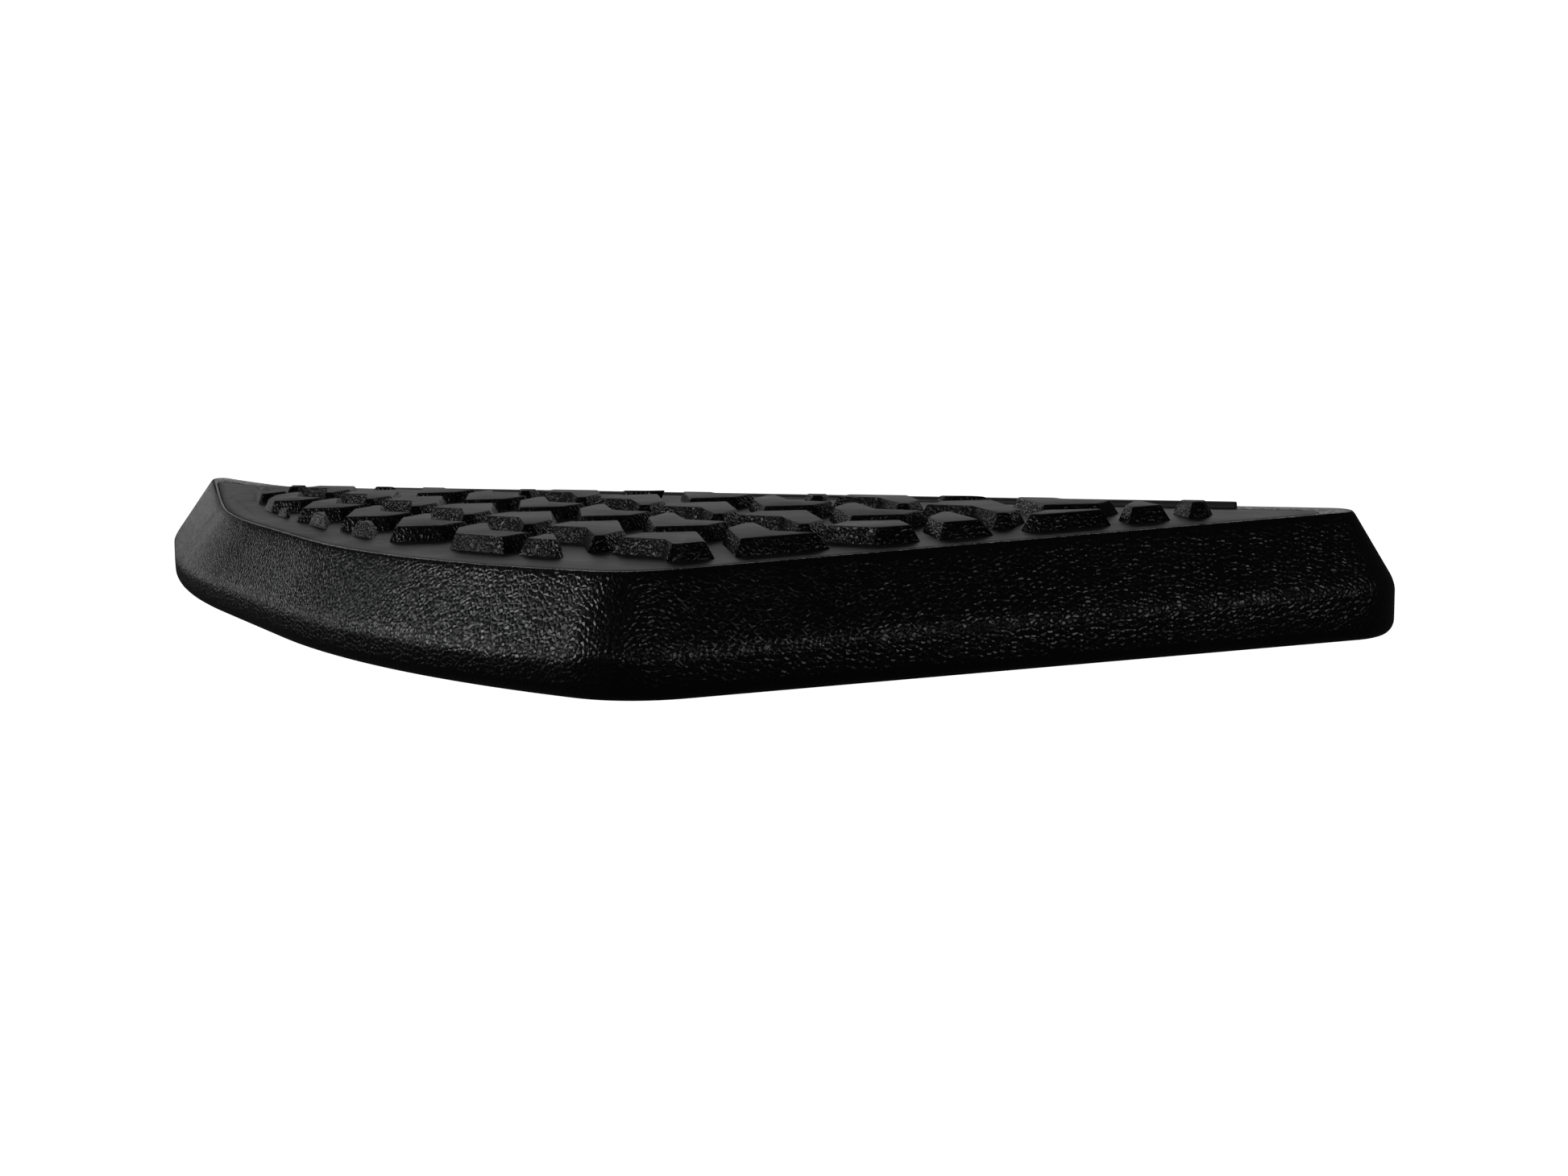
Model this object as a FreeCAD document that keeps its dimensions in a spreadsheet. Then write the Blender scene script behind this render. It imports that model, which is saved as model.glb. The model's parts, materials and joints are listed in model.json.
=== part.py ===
import FreeCAD, Part
import math
import os
import Sketcher
from FreeCAD import Placement, Rotation, Vector

# Running board for a vehicle: a moulded cover with a sloping skirt, a tyre-tread pad inlaid in its
# top, and a steel frame under it that carries the mounting plates.
#
# Frame: +X along the inner (vehicle-side) edge, +Y towards the vehicle, +Z up. The origin is the
# centre of the footprint, on the plane that the bottom rim stands on.

doc = FreeCAD.newDocument("running_board")

# ---------------------------------------------------------------- driving dimensions (mm, degrees)
DIMENSIONS = [
    # plan of the deck border, as the corners of a five-sided outline with rounded corners
    ("deck_width", 174.0, "inner edge to outer edge of the deck border"),
    ("near_corner_x", 128.4, "where the outer edge meets the slanting end"),
    ("bend_x", 36.6, "where the outer edge starts to sweep in"),
    ("tip_x", -262.4, "where the tip's side meets the inner edge"),
    ("end_angle", 50.0, "slant of the wide end against the inner edge"),
    ("sweep_angle", 25.2, "slant of the swept outer edge"),
    ("tip_angle", 36.0, "slant of the outer edge close to the tip"),
    ("near_corner_radius", 26.0, ""),
    ("far_corner_radius", 8.0, ""),
    ("tip_radius", 4.0, ""),
    ("kink_radius", 490.0, "where the swept edge turns towards the tip"),
    ("bend_radius", 370.0, ""),
    # deck plane: height over the origin, and its fall towards the outer edge
    ("deck_height", 32.0, ""),
    ("deck_tilt", 1.2, ""),
    ("tilt_heading", -30.0, "heading of the tilt axis"),
    # skirt
    ("skirt_flare", 12.0, "how far the skirt stands out at its crease"),
    ("sweep_flare", 10.0, "the same on the swept edge, at the bend"),
    ("sweep_spread", 2.2, "angle by which the swept edge's flare grows towards the tip"),
    ("tip_flare", 19.0, "the same on the edge close to the tip"),
    ("crease_height", 10.0, ""),
    ("crease_round", 1.6, "height of the rounded band over the crease"),
    ("near_crease_rise", 1.2, "how much higher the crease runs at the outer corner of the wide end"),
    ("far_crease_rise", 4.6, "the same at its inner corner"),
    ("tip_crease_rise", -2.5, "the same at the tip, where it runs lower"),
    ("crease_inset", 0.5, "how far that band leans in"),
    ("wall_lean", 0.58, "how far the skirt leans in for each unit of height under the deck"),
    ("tip_wall_lean", 0.8, "the same close to the tip"),
    ("foot_height", 4.5, "height of the tucked-in foot"),
    ("foot_tuck", 4.0, "how far the foot tucks in"),
    ("foot_mid_height", 1.35, "height of the ring half way round the foot"),
    ("foot_mid_tuck", 1.4, "how far that ring tucks in"),
    ("band_top", 7.0, "top of the upright band over the foot, level all round"),
    ("wall", 3.0, ""),
    ("deck_wall", 3.0, ""),
    # tread pad
    ("recess_depth", 2.4, ""),
    ("rim_width", 1.6, "rim of the cover around the pad"),
    ("strip_shelf", 9.0, "rim on the inner side, which carries the edge strip"),
    ("pad_gap", 0.4, ""),
    ("lug_height", 4.6, ""),
    ("lug_draft", 2.1, "how far a lug widens from top to bottom"),
    ("lug_margin", 16.0, "border to the nearest lug top"),
    ("lug_front_margin", 21.0, "the same at the outer edge"),
    ("lug_inner_margin", 26.0, "the same on the inner side"),
    ("lug_pitch", 90.0, "from one lug to the next like it in a row"),
    ("row_shift", 46.6, "from one row to the next"),
    ("row_heading", 11.9, "heading of the rows"),
    ("row_shift_angle", 145.3, "row to row direction, against the row heading"),
    ("lug_root", 0.6, "how far a lug reaches into the plate"),
    ("lug_least_volume", 25.0, "smaller remnants at the margin are left off"),
    ("lug_start_x", 7.0, ""),
    ("lug_start_y", -51.0, ""),
    ("peg_radius", 2.5, ""),
    ("peg_hole_radius", 2.7, ""),
    ("peg_length", 3.2, "below the deck"),
    ("push_nut_radius", 6.0, ""),
    ("push_nut_thickness", 1.0, ""),
    # edge strip
    ("strip_length", 372.0, ""),
    ("strip_width", 5.0, ""),
    ("strip_height", 1.8, ""),
    ("strip_rounding", 1.2, ""),
    ("strip_x", 44.0, ""),
    ("strip_y", 82.6, ""),
    # steel frame
    ("beam_bottom", 5.5, ""),
    ("beam_height", 16.0, ""),
    ("beam_wall", 2.0, ""),
    ("main_width", 40.0, ""),
    ("main_length", 380.0, ""),
    ("main_x", 20.0, ""),
    ("main_y", 40.0, ""),
    ("outer_width", 20.0, ""),
    ("outer_length", 152.0, ""),
    ("outer_x", 64.0, ""),
    ("outer_y", -52.0, ""),
    ("cross_width", 20.0, ""),
    ("cross_pitch", 61.0, ""),
    ("plug_depth", 12.0, ""),
    ("plug_flange", 2.0, ""),
    ("plug_gap", 0.15, ""),
    # mounting plates
    ("plate_length", 100.0, ""),
    ("plate_width", 36.0, ""),
    ("plate_thickness", 3.0, ""),
    ("plate_bottom", 1.0, ""),
    ("plate_offset", 100.0, "centre of each plate from the middle of the main beam"),
    ("isolator_thickness", 1.5, ""),
    ("nut_spacing", 60.0, ""),
    ("nut_thread_radius", 3.4, "M8 thread"),
    ("nut_width", 13.0, "across flats"),
    ("nut_height", 6.5, ""),
    ("nut_clearance_radius", 8.5, ""),
    ("bolt_hole_radius", 4.2, "in the mounting plates"),
    ("plate_screw_spacing", 84.0, ""),
    ("plate_screw_radius", 2.5, ""),
    ("plate_screw_head", 4.6, ""),
    ("plate_screw_head_height", 2.1, ""),
    ("plate_screw_length", 9.0, ""),
    # cover screws
    ("cover_screw_radius", 2.5, ""),
    ("cover_screw_hole", 2.75, ""),
    ("cover_screw_head_radius", 4.5, ""),
    ("cover_screw_head_height", 3.0, ""),
    ("cover_screw_socket", 3.0, "across flats"),
    ("washer_radius", 6.0, ""),
    ("washer_thickness", 1.0, ""),
    ("insert_radius", 3.5, ""),
    ("insert_length", 5.0, ""),
    ("boss_radius", 6.5, ""),
    ("rib_thickness", 2.2, ""),
    ("rib_bottom", 12.0, ""),
    ("rib_gap", 1.0, "clearance between ribs and frame"),
    ("rib_pitch", 40.0, ""),
    ("main_screw_pitch", 165.0, "cover screws in the main beam"),
    ("outer_screw_pitch", 66.0, "cover screws in the outer beam"),
]

sheet = doc.addObject("Spreadsheet::Sheet", "Dims")
for row, (alias, value, note) in enumerate(DIMENSIONS, start=1):
    sheet.set("A%d" % row, alias)
    sheet.set("B%d" % row, str(value))
    sheet.setAlias("B%d" % row, alias)
    if note:
        sheet.set("C%d" % row, note)
doc.recompute()


def dim(alias):
    return float(sheet.get(alias))


# ---------------------------------------------------------------- places of the fasteners
COVER_SCREW_PLACES = [(dim("main_x") + k * dim("main_screw_pitch"), dim("main_y")) for k in (-1, 0, 1)]
COVER_SCREW_PLACES += [(dim("outer_x") + k * dim("outer_screw_pitch"), dim("outer_y")) for k in (-1, 0, 1)]
PLATE_PLACES = [("left", dim("main_x") - dim("plate_offset")), ("right", dim("main_x") + dim("plate_offset"))]
CROSS_PLACES = [("left", -1), ("middle", 0), ("right", 1)]
PEG_PLACES = [(-190.0, 68.0), (-90.0, 70.0), (20.0, 70.0), (130.0, 70.0), (222.0, 70.0),
              (-100.0, 0.0), (-30.0, -20.0), (34.0, -20.0), (94.0, -20.0), (158.0, -10.0), (64.0, -74.0)]
RIB_ROWS = (-22.0, 68.0)
RIB_COLUMNS = range(-6, 6)
TALL = 40.0                 # more than the board's height, for cutting tools and blanks
BOARD_HALF_LENGTH = 300.0   # more than half the board's length and width, for the same
BOARD_HALF_WIDTH = 110.0
BEAM_CLEARANCE = 0.3        # between the beams' tops and the ribs
CAVITY_OVERRUN = 0.5        # so that the cavity opens the rim

beam_top = dim("beam_bottom") + dim("beam_height")
beam_middle = dim("beam_bottom") + dim("beam_height") / 2


# ---------------------------------------------------------------- outline of the board
def deck_placement():
    """Place of the deck plane: its own z = 0 is the top of the plain deck between the lugs."""
    heading = math.radians(dim("tilt_heading"))
    axis = Vector(math.cos(heading), math.sin(heading), 0)
    return Placement(Vector(0, 0, dim("deck_height")), Rotation(axis, dim("deck_tilt")))


def corner_points(front, right, inner, left, sweep, spread):
    """Corners of the outline, with each side moved out by its own distance, anticlockwise."""
    half = dim("deck_width") / 2
    sides = [
        (dim("bend_x"), -half, -90.0, front),
        (dim("near_corner_x"), -half, dim("end_angle") - 90.0, right),
        (0.0, half, 90.0, inner),
        (dim("tip_x"), half, -90.0 - dim("tip_angle"), left),
        (dim("bend_x"), -half, -90.0 - dim("sweep_angle") + spread, sweep),
    ]
    lines = []
    for x, y, outward, distance in sides:
        across = Vector(math.cos(math.radians(outward)), math.sin(math.radians(outward)), 0)
        lines.append((across, across.x * x + across.y * y + distance))
    corners = []
    for i, (first, first_reach) in enumerate(lines):
        second, second_reach = lines[(i + 1) % 5]
        scale = first.x * second.y - first.y * second.x
        x = (first_reach * second.y - second_reach * first.y) / scale
        y = (second_reach * first.x - first_reach * second.x) / scale
        corners.append(Vector(x, y, 0))
    return corners


CORNER_RADII = ("near_corner_radius", "far_corner_radius", "tip_radius", "kink_radius", "bend_radius")
SIDE_SHARES = (0.45, 0.45, 0.45, 0.45, 0.8)     # most that a corner's rounding may take of a side
LEVEL = (0.0, 0.0, 0.0, 0.0, 0.0)
CREASE_RISES = (dim("near_crease_rise"), dim("far_crease_rise"), dim("tip_crease_rise"), 0.0, 0.0)


def outline(grow, left=None, inner=None, sweep=None, spread=0.0, z=0.0, rises=LEVEL, front=None):
    """Closed wire of five lines and five arcs, grown by a distance from the deck border.

    Each corner's arc is level, and may be raised on its own; the lines slope between them.
    """
    left = grow if left is None else left
    inner = grow if inner is None else inner
    sweep = grow if sweep is None else sweep
    front = grow if front is None else front
    corners = corner_points(front, grow, inner, left, sweep, spread)
    starts, middles, ends = [], [], []
    for i, corner in enumerate(corners):
        to_last = corners[i - 1] - corner
        to_next = corners[(i + 1) % 5] - corner
        shortest = min(to_last.Length, to_next.Length)
        back = to_last.normalize()
        ahead = to_next.normalize()
        half_angle = back.getAngle(ahead) / 2
        wanted = max(dim(CORNER_RADII[i]) + grow, 1.0) / math.tan(half_angle)
        reach = min(wanted, SIDE_SHARES[i] * shortest)
        radius = reach * math.tan(half_angle)
        inward = (back + ahead).normalize()
        raised = corner + Vector(0, 0, z + rises[i])
        starts.append(raised + back * reach)
        ends.append(raised + ahead * reach)
        middles.append(raised + inward * (radius / math.sin(half_angle) - radius))
    edges = []
    for i in range(5):
        edges.append(Part.Arc(starts[i], middles[i], ends[i]).toShape())
        edges.append(Part.LineSegment(ends[i], starts[(i + 1) % 5]).toShape())
    return Part.Wire(edges)


def on_deck(shape):
    """Copy of a shape drawn on the deck plane, moved to where the deck is."""
    moved = shape.copy()
    moved.Placement = deck_placement().multiply(moved.Placement)
    return moved


def prism(wire, height):
    return Part.Face(wire).extrude(Vector(0, 0, height))


def skirt_ring(inset, z, rises=LEVEL):
    """Outline of the skirt at its widest, moved in by a distance."""
    return outline(dim("skirt_flare") - inset, dim("tip_flare") - inset, sweep=dim("sweep_flare") - inset,
                   spread=dim("sweep_spread"), z=z, rises=rises)


def skirt_solid(shrink, floor_z, roof_z):
    """Solid inside the skirt's outer face moved in by a distance, up to a level over the deck."""
    crease = dim("crease_height")
    roof_grow = -shrink - dim("wall_lean") * roof_z
    roof_tip = -shrink - dim("tip_wall_lean") * roof_z
    rings = [
        skirt_ring(shrink + dim("foot_tuck"), floor_z),
        skirt_ring(shrink + dim("foot_mid_tuck"), dim("foot_mid_height")),
        skirt_ring(shrink, dim("foot_height")),
        skirt_ring(shrink, dim("band_top")),
        skirt_ring(shrink, crease, CREASE_RISES),
        skirt_ring(shrink + dim("crease_inset"), crease + dim("crease_round"), CREASE_RISES),
        on_deck(outline(roof_grow, roof_tip, z=roof_z)),
    ]
    return Part.makeLoft(rings, True, True)


# ---------------------------------------------------------------- moulded cover
def block(x, y, z, half_x, half_y, height):
    """Upright block centred on a place, standing on a level."""
    return Part.makeBox(2 * half_x, 2 * half_y, height, Vector(x - half_x, y - half_y, z))


def rib_solids(cavity):
    """Ribs under the deck: a grid that fills the cavity, cut clear of the steel frame."""
    half = dim("rib_thickness") / 2
    low = dim("rib_bottom")
    pitch = dim("rib_pitch")
    bars = [block((k + 0.5) * pitch, 0, low, half, BOARD_HALF_WIDTH, TALL) for k in RIB_COLUMNS]
    bars += [block(0, y, low, BOARD_HALF_LENGTH, half, TALL) for y in RIB_ROWS]
    grid = bars[0].multiFuse(bars[1:]).common(cavity)
    gap = dim("rib_gap")
    end = dim("plug_flange") + gap
    rooms = [
        (dim("main_x"), dim("main_y"), dim("main_length") / 2 + end, dim("main_width") / 2 + gap),
        (dim("outer_x"), dim("outer_y"), dim("outer_length") / 2 + end, dim("outer_width") / 2 + gap),
    ]
    cross_y = (dim("main_y") + dim("outer_y")) / 2
    cross_half = (dim("main_y") - dim("outer_y")) / 2
    for name, k in CROSS_PLACES:
        cross_x = dim("outer_x") + k * dim("cross_pitch")
        rooms.append((cross_x, cross_y, dim("cross_width") / 2 + gap, cross_half))
    for x, y, half_x, half_y in rooms:
        grid = grid.cut(block(x, y, 0, half_x, half_y, beam_top + BEAM_CLEARANCE))
    for x, y in PEG_PLACES:
        room = Part.makeCylinder(dim("push_nut_radius") + gap, TALL, Vector(x, y, 0))
        grid = grid.cut(room)
    return grid


def build_cover():
    outer = skirt_solid(0.0, 0.0, 0.0)
    cavity = skirt_solid(dim("wall"), -CAVITY_OVERRUN, -dim("recess_depth") - dim("deck_wall"))
    shell = outer.cut(cavity)
    shell = shell.fuse(rib_solids(cavity))
    bosses = [Part.makeCylinder(dim("boss_radius"), TALL, Vector(x, y, beam_top)) for x, y in COVER_SCREW_PLACES]
    shell = shell.multiFuse([boss.common(cavity) for boss in bosses])
    recess = prism(outline(-dim("rim_width"), inner=-dim("strip_shelf"), z=-dim("recess_depth")), TALL)
    holes = [Part.makeCylinder(dim("peg_hole_radius"), TALL, Vector(x, y, -TALL / 2)) for x, y in PEG_PLACES]
    tools = [on_deck(recess)] + [on_deck(hole) for hole in holes]
    for x, y in COVER_SCREW_PLACES:
        tools.append(Part.makeCylinder(dim("insert_radius"), dim("insert_length"), Vector(x, y, beam_top)))
    return shell.cut(tools).removeSplitter()


# ---------------------------------------------------------------- tread pad
def grown_polygon(points, grow):
    """Corners of an anticlockwise polygon after each side has moved out by the same distance."""
    grown = []
    for i, point in enumerate(points):
        into = (point - points[i - 1]).normalize()
        away = (points[(i + 1) % len(points)] - point).normalize()
        turn = math.atan2(into.x * away.y - into.y * away.x, into.dot(away))
        side = Vector(into.y + away.y, -into.x - away.x, 0).normalize()
        grown.append(point + side * (grow / math.cos(turn / 2)))
    return grown


# plan of a lug: a block that leans back and an arm with a bent tip
LUG_CORNERS = [(0, 0), (15.2, 2.6), (17.3, 13.1), (1.4, 16.9), (-11.0, 36.5), (-13.6, 35.5), (-14.0, 24.4)]
LUG_TWIN = (70.0, 15.5)         # where the first corner of the lug turned half round lies
LUG_ROWS = range(-5, 9)         # enough rows and places to fill the pad
LUG_COLUMNS = range(-6, 8)


def lug_outline(grow, turned, z):
    """Plan of one lug, grown by a distance."""
    points = LUG_CORNERS
    if turned:
        points = [(LUG_TWIN[0] - x, LUG_TWIN[1] - y) for x, y in LUG_CORNERS]
    corners = grown_polygon([Vector(x, y, z) for x, y in points], grow)
    return Part.makePolygon(corners + corners[:1])


def lug_solid(turned):
    """Lug with sloping sides; it starts a little below the pad's surface."""
    root = dim("lug_root")
    slope = dim("lug_draft") / dim("lug_height")
    top = lug_outline(0.0, turned, dim("lug_height"))
    foot = lug_outline(dim("lug_draft") + root * slope, turned, -root)
    return Part.makeLoft([foot, top], True, True)


def lug_field():
    """All lugs, trimmed by sloping faces that run parallel to the border."""
    root = dim("lug_root")
    margin = dim("lug_margin")
    inner = dim("lug_inner_margin")
    step = dim("lug_draft") * (dim("lug_height") + root) / dim("lug_height")
    front = dim("lug_front_margin")
    low = outline(-margin + step, inner=-inner + step, z=-root, front=-front + step)
    high = outline(-margin, inner=-inner, z=dim("lug_height"), front=-front)
    room = Part.makeLoft([low, high], True, True)
    heading = dim("row_heading")
    along = Rotation(Vector(0, 0, 1), heading).multVec(Vector(dim("lug_pitch"), 0, 0))
    across = Rotation(Vector(0, 0, 1), heading + dim("row_shift_angle")).multVec(Vector(dim("row_shift"), 0, 0))
    start = Vector(dim("lug_start_x"), dim("lug_start_y"), 0)
    lugs = []
    for turned in (False, True):
        pattern = lug_solid(turned)
        for row in LUG_ROWS:
            for place in LUG_COLUMNS:
                spot = start + along * place + across * row
                if abs(spot.x) > BOARD_HALF_LENGTH or abs(spot.y) > BOARD_HALF_WIDTH:
                    continue
                lug = pattern.copy()
                lug.Placement = Placement(spot, Rotation(Vector(0, 0, 1), heading))
                lugs += [s for s in lug.common(room).Solids if s.Volume > dim("lug_least_volume")]
    return lugs


def build_pad():
    inset = -dim("rim_width") - dim("pad_gap")
    inner = -dim("strip_shelf") - dim("pad_gap")
    plate = prism(outline(inset, inner=inner, z=-dim("recess_depth")), dim("recess_depth"))
    peg_top = -dim("recess_depth")
    peg_length = dim("deck_wall") + dim("peg_length")
    pegs = [Part.makeCylinder(dim("peg_radius"), peg_length, Vector(x, y, peg_top - peg_length))
            for x, y in PEG_PLACES]
    return plate.multiFuse(pegs + lug_field()).removeSplitter()


def build_push_nuts():
    z = -dim("recess_depth") - dim("deck_wall") - dim("push_nut_thickness")
    rings = []
    for x, y in PEG_PLACES:
        disc = Part.makeCylinder(dim("push_nut_radius"), dim("push_nut_thickness"), Vector(x, y, z))
        rings.append(disc.cut(Part.makeCylinder(dim("peg_radius"), dim("push_nut_thickness"), Vector(x, y, z))))
    return Part.Compound(rings)


def add_shape(label, shape, place):
    piece = doc.addObject("Part::Feature", label)
    piece.Label = label
    piece.Shape = shape
    piece.Placement = place
    return piece


# ---------------------------------------------------------------- sketched bodies
def add_body(label, place):
    body = doc.addObject("PartDesign::Body", label)
    body.Label = label
    body.Placement = place
    return body


def add_sketch(body, role, name):
    sketch = body.newObject("Sketcher::SketchObject", name)
    plane = [f for f in body.Origin.OriginFeatures if f.Role == role][0]
    sketch.AttachmentSupport = [(plane, "")]
    sketch.MapMode = "FlatFace"
    return sketch


def draw_rectangle(sketch, width, height, name):
    """Rectangle centred on the sketch's origin, with both sizes bound to the sheet."""
    w, t = 10.0, 8.0
    corners = [Vector(-w, -t, 0), Vector(w, -t, 0), Vector(w, t, 0), Vector(-w, t, 0)]
    first = sketch.GeometryCount
    for i in range(4):
        sketch.addGeometry(Part.LineSegment(corners[i], corners[(i + 1) % 4]), False)
    for i in range(4):
        sketch.addConstraint(Sketcher.Constraint("Coincident", first + i, 2, first + (i + 1) % 4, 1))
    for i in (0, 2):
        sketch.addConstraint(Sketcher.Constraint("Horizontal", first + i))
        sketch.addConstraint(Sketcher.Constraint("Vertical", first + i + 1))
    sketch.addConstraint(Sketcher.Constraint("Symmetric", first, 1, first + 1, 2, -1, 1))
    for side, edge, size in (("width", first, width), ("height", first + 1, height)):
        index = sketch.addConstraint(Sketcher.Constraint("Distance", edge, 2 * w if edge == first else 2 * t))
        sketch.renameConstraint(index, name + "_" + side)
        sketch.setExpression("Constraints." + name + "_" + side, size)


def draw_circle(sketch, x, y, radius, name):
    """Circle at a fixed place, with its radius bound to the sheet."""
    index = sketch.addGeometry(Part.Circle(Vector(x, y, 0), Vector(0, 0, 1), 3.0), False)
    sketch.addConstraint(Sketcher.Constraint("DistanceX", -1, 1, index, 3, x))
    sketch.addConstraint(Sketcher.Constraint("DistanceY", -1, 1, index, 3, y))
    size = sketch.addConstraint(Sketcher.Constraint("Radius", index, 3.0))
    sketch.renameConstraint(size, name)
    sketch.setExpression("Constraints." + name, radius)


def add_pad(body, sketch, length, centred=False, reverse=False):
    pad = body.newObject("PartDesign::Pad", body.Name + "_pad")
    pad.Profile = sketch
    pad.setExpression("Length", length)
    pad.Midplane = centred
    pad.Reversed = reverse
    doc.recompute()
    return pad


def add_pocket(body, sketch, through, length=None, centred=False, reverse=False):
    """Pocket that must take material away."""
    before = body.Shape.Volume
    pocket = body.newObject("PartDesign::Pocket", body.Name + "_pocket")
    pocket.Profile = sketch
    pocket.Type = "ThroughAll" if through else "Length"
    if length:
        pocket.setExpression("Length", length)
    pocket.Midplane = centred
    pocket.Reversed = reverse
    doc.recompute()
    if body.Shape.Volume >= before - 0.1:
        raise RuntimeError(body.Label + ": the pocket cuts nothing")
    return pocket


def build_tube(label, role, width, length, place, through_holes=(), floor_holes=()):
    """Rectangular steel tube. Through holes cross both walls; floor holes only the lower one."""
    body = add_body(label, place)
    profile = add_sketch(body, role, label + "_profile")
    draw_rectangle(profile, width, "Dims.beam_height", "outer")
    draw_rectangle(profile, width + " - 2 * Dims.beam_wall", "Dims.beam_height - 2 * Dims.beam_wall", "inner")
    add_pad(body, profile, length, centred=True)
    if through_holes:
        holes = add_sketch(body, "XY_Plane", label + "_screw_holes")
        for i, (x, y) in enumerate(through_holes):
            draw_circle(holes, x, y, "Dims.cover_screw_hole", "hole_%d" % i)
        add_pocket(body, holes, True, centred=True)
    if floor_holes:
        holes = add_sketch(body, "XY_Plane", label + "_floor_holes")
        for i, (x, y, radius) in enumerate(floor_holes):
            draw_circle(holes, x, y, radius, "hole_%d" % i)
        add_pocket(body, holes, True)
    return body


def build_plug(label, width, place):
    """Moulded end plug: a flange that covers the tube's end and a block that fits inside it."""
    body = add_body(label, place)
    cover = add_sketch(body, "YZ_Plane", label + "_flange")
    draw_rectangle(cover, width, "Dims.beam_height", "flange")
    add_pad(body, cover, "Dims.plug_flange")
    block = add_sketch(body, "YZ_Plane", label + "_block")
    room = " - 2 * Dims.beam_wall - 2 * Dims.plug_gap"
    draw_rectangle(block, width + room, "Dims.beam_height" + room, "block")
    add_pad(body, block, "Dims.plug_depth", reverse=True)
    return body


def build_plate(label, thickness, place, holes):
    """Flat plate with round holes."""
    body = add_body(label, place)
    profile = add_sketch(body, "XY_Plane", label + "_profile")
    draw_rectangle(profile, "Dims.plate_length", "Dims.plate_width", "plate")
    add_pad(body, profile, thickness)
    cuts = add_sketch(body, "XY_Plane", label + "_holes")
    for i, (x, radius) in enumerate(holes):
        draw_circle(cuts, x, 0.0, radius, "hole_%d" % i)
    add_pocket(body, cuts, True, reverse=True)
    return body


def add_countersinks(body, hole_radius, size):
    """Chamfer on the lower edges of a plate's screw holes, as deep as the screws' heads."""
    before = body.Shape.Volume
    drilled = body.Tip
    rims = []
    for i, edge in enumerate(drilled.Shape.Edges):
        curve = edge.Curve
        if isinstance(curve, Part.Circle) and abs(curve.Radius - hole_radius) < 0.01 and abs(curve.Center.z) < 0.01:
            rims.append("Edge%d" % (i + 1))
    chamfer = body.newObject("PartDesign::Chamfer", body.Name + "_countersinks")
    chamfer.Base = (drilled, rims)
    chamfer.setExpression("Size", size)
    doc.recompute()
    if body.Shape.Volume >= before - 0.1:
        raise RuntimeError(body.Label + ": the countersinks cut nothing")


def build_strip():
    """Rubber strip along the inner edge of the deck, with rounded upper edges."""
    on_rim = Placement(Vector(dim("strip_x"), dim("strip_y"), 0), Rotation())
    body = add_body("edge_strip", deck_placement().multiply(on_rim))
    profile = add_sketch(body, "XY_Plane", "edge_strip_profile")
    draw_rectangle(profile, "Dims.strip_length", "Dims.strip_width", "strip")
    pad = add_pad(body, profile, "Dims.strip_height")
    top = ["Edge%d" % (i + 1) for i, edge in enumerate(pad.Shape.Edges)
           if min(v.Point.z for v in edge.Vertexes) > dim("strip_height") - 0.01]
    fillet = body.newObject("PartDesign::Fillet", "edge_strip_rounding")
    fillet.Base = (pad, top)
    fillet.setExpression("Radius", "Dims.strip_rounding")
    return body


# ---------------------------------------------------------------- fasteners from Part primitives
def bind(item, **expressions):
    for prop, expression in expressions.items():
        item.setExpression(prop, expression)
    return item


def cylinder(name, x, y, z, radius, height):
    item = doc.addObject("Part::Cylinder", name)
    bind(item, Radius=radius, Height=height)
    item.Placement = Placement(Vector(x, y, z), Rotation())
    return item


def cut(name, base, tool):
    item = doc.addObject("Part::Cut", name)
    item.Base = base
    item.Tool = tool
    return item


def group(label, items):
    item = doc.addObject("Part::Compound", label)
    item.Label = label
    item.Links = items
    item.Placement = Placement(Vector(0, 0, 0), Rotation())
    return item


def build_rings(label, places, z, outer, inner, height):
    rings = []
    for i, (x, y) in enumerate(places):
        disc = cylinder("%s_disc_%d" % (label, i), x, y, z, outer, height)
        bore = cylinder("%s_bore_%d" % (label, i), x, y, z, inner, height)
        rings.append(cut("%s_ring_%d" % (label, i), disc, bore))
    return group(label, rings)


def build_cover_screws():
    """Socket-head screws, driven from below through the beams into the cover's bosses."""
    head_z = dim("beam_bottom") - dim("washer_thickness") - dim("cover_screw_head_height")
    screws = []
    for i, (x, y) in enumerate(COVER_SCREW_PLACES):
        head = cylinder("cover_head_%d" % i, x, y, head_z,
                        "Dims.cover_screw_head_radius", "Dims.cover_screw_head_height")
        shank_z = head_z + dim("cover_screw_head_height")
        shank = cylinder("cover_shank_%d" % i, x, y, shank_z, "Dims.cover_screw_radius",
                         "Dims.washer_thickness + Dims.beam_height + Dims.insert_length")
        socket = doc.addObject("Part::Prism", "cover_socket_%d" % i)
        bind(socket, Circumradius="Dims.cover_screw_socket / sqrt(3)", Height="Dims.cover_screw_head_height / 2")
        socket.Placement = Placement(Vector(x, y, head_z), Rotation())
        solid = doc.addObject("Part::Fuse", "cover_blank_%d" % i)
        solid.Base = head
        solid.Tool = shank
        screws.append(cut("cover_screw_%d" % i, solid, socket))
    return group("cover_screws", screws)


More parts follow.
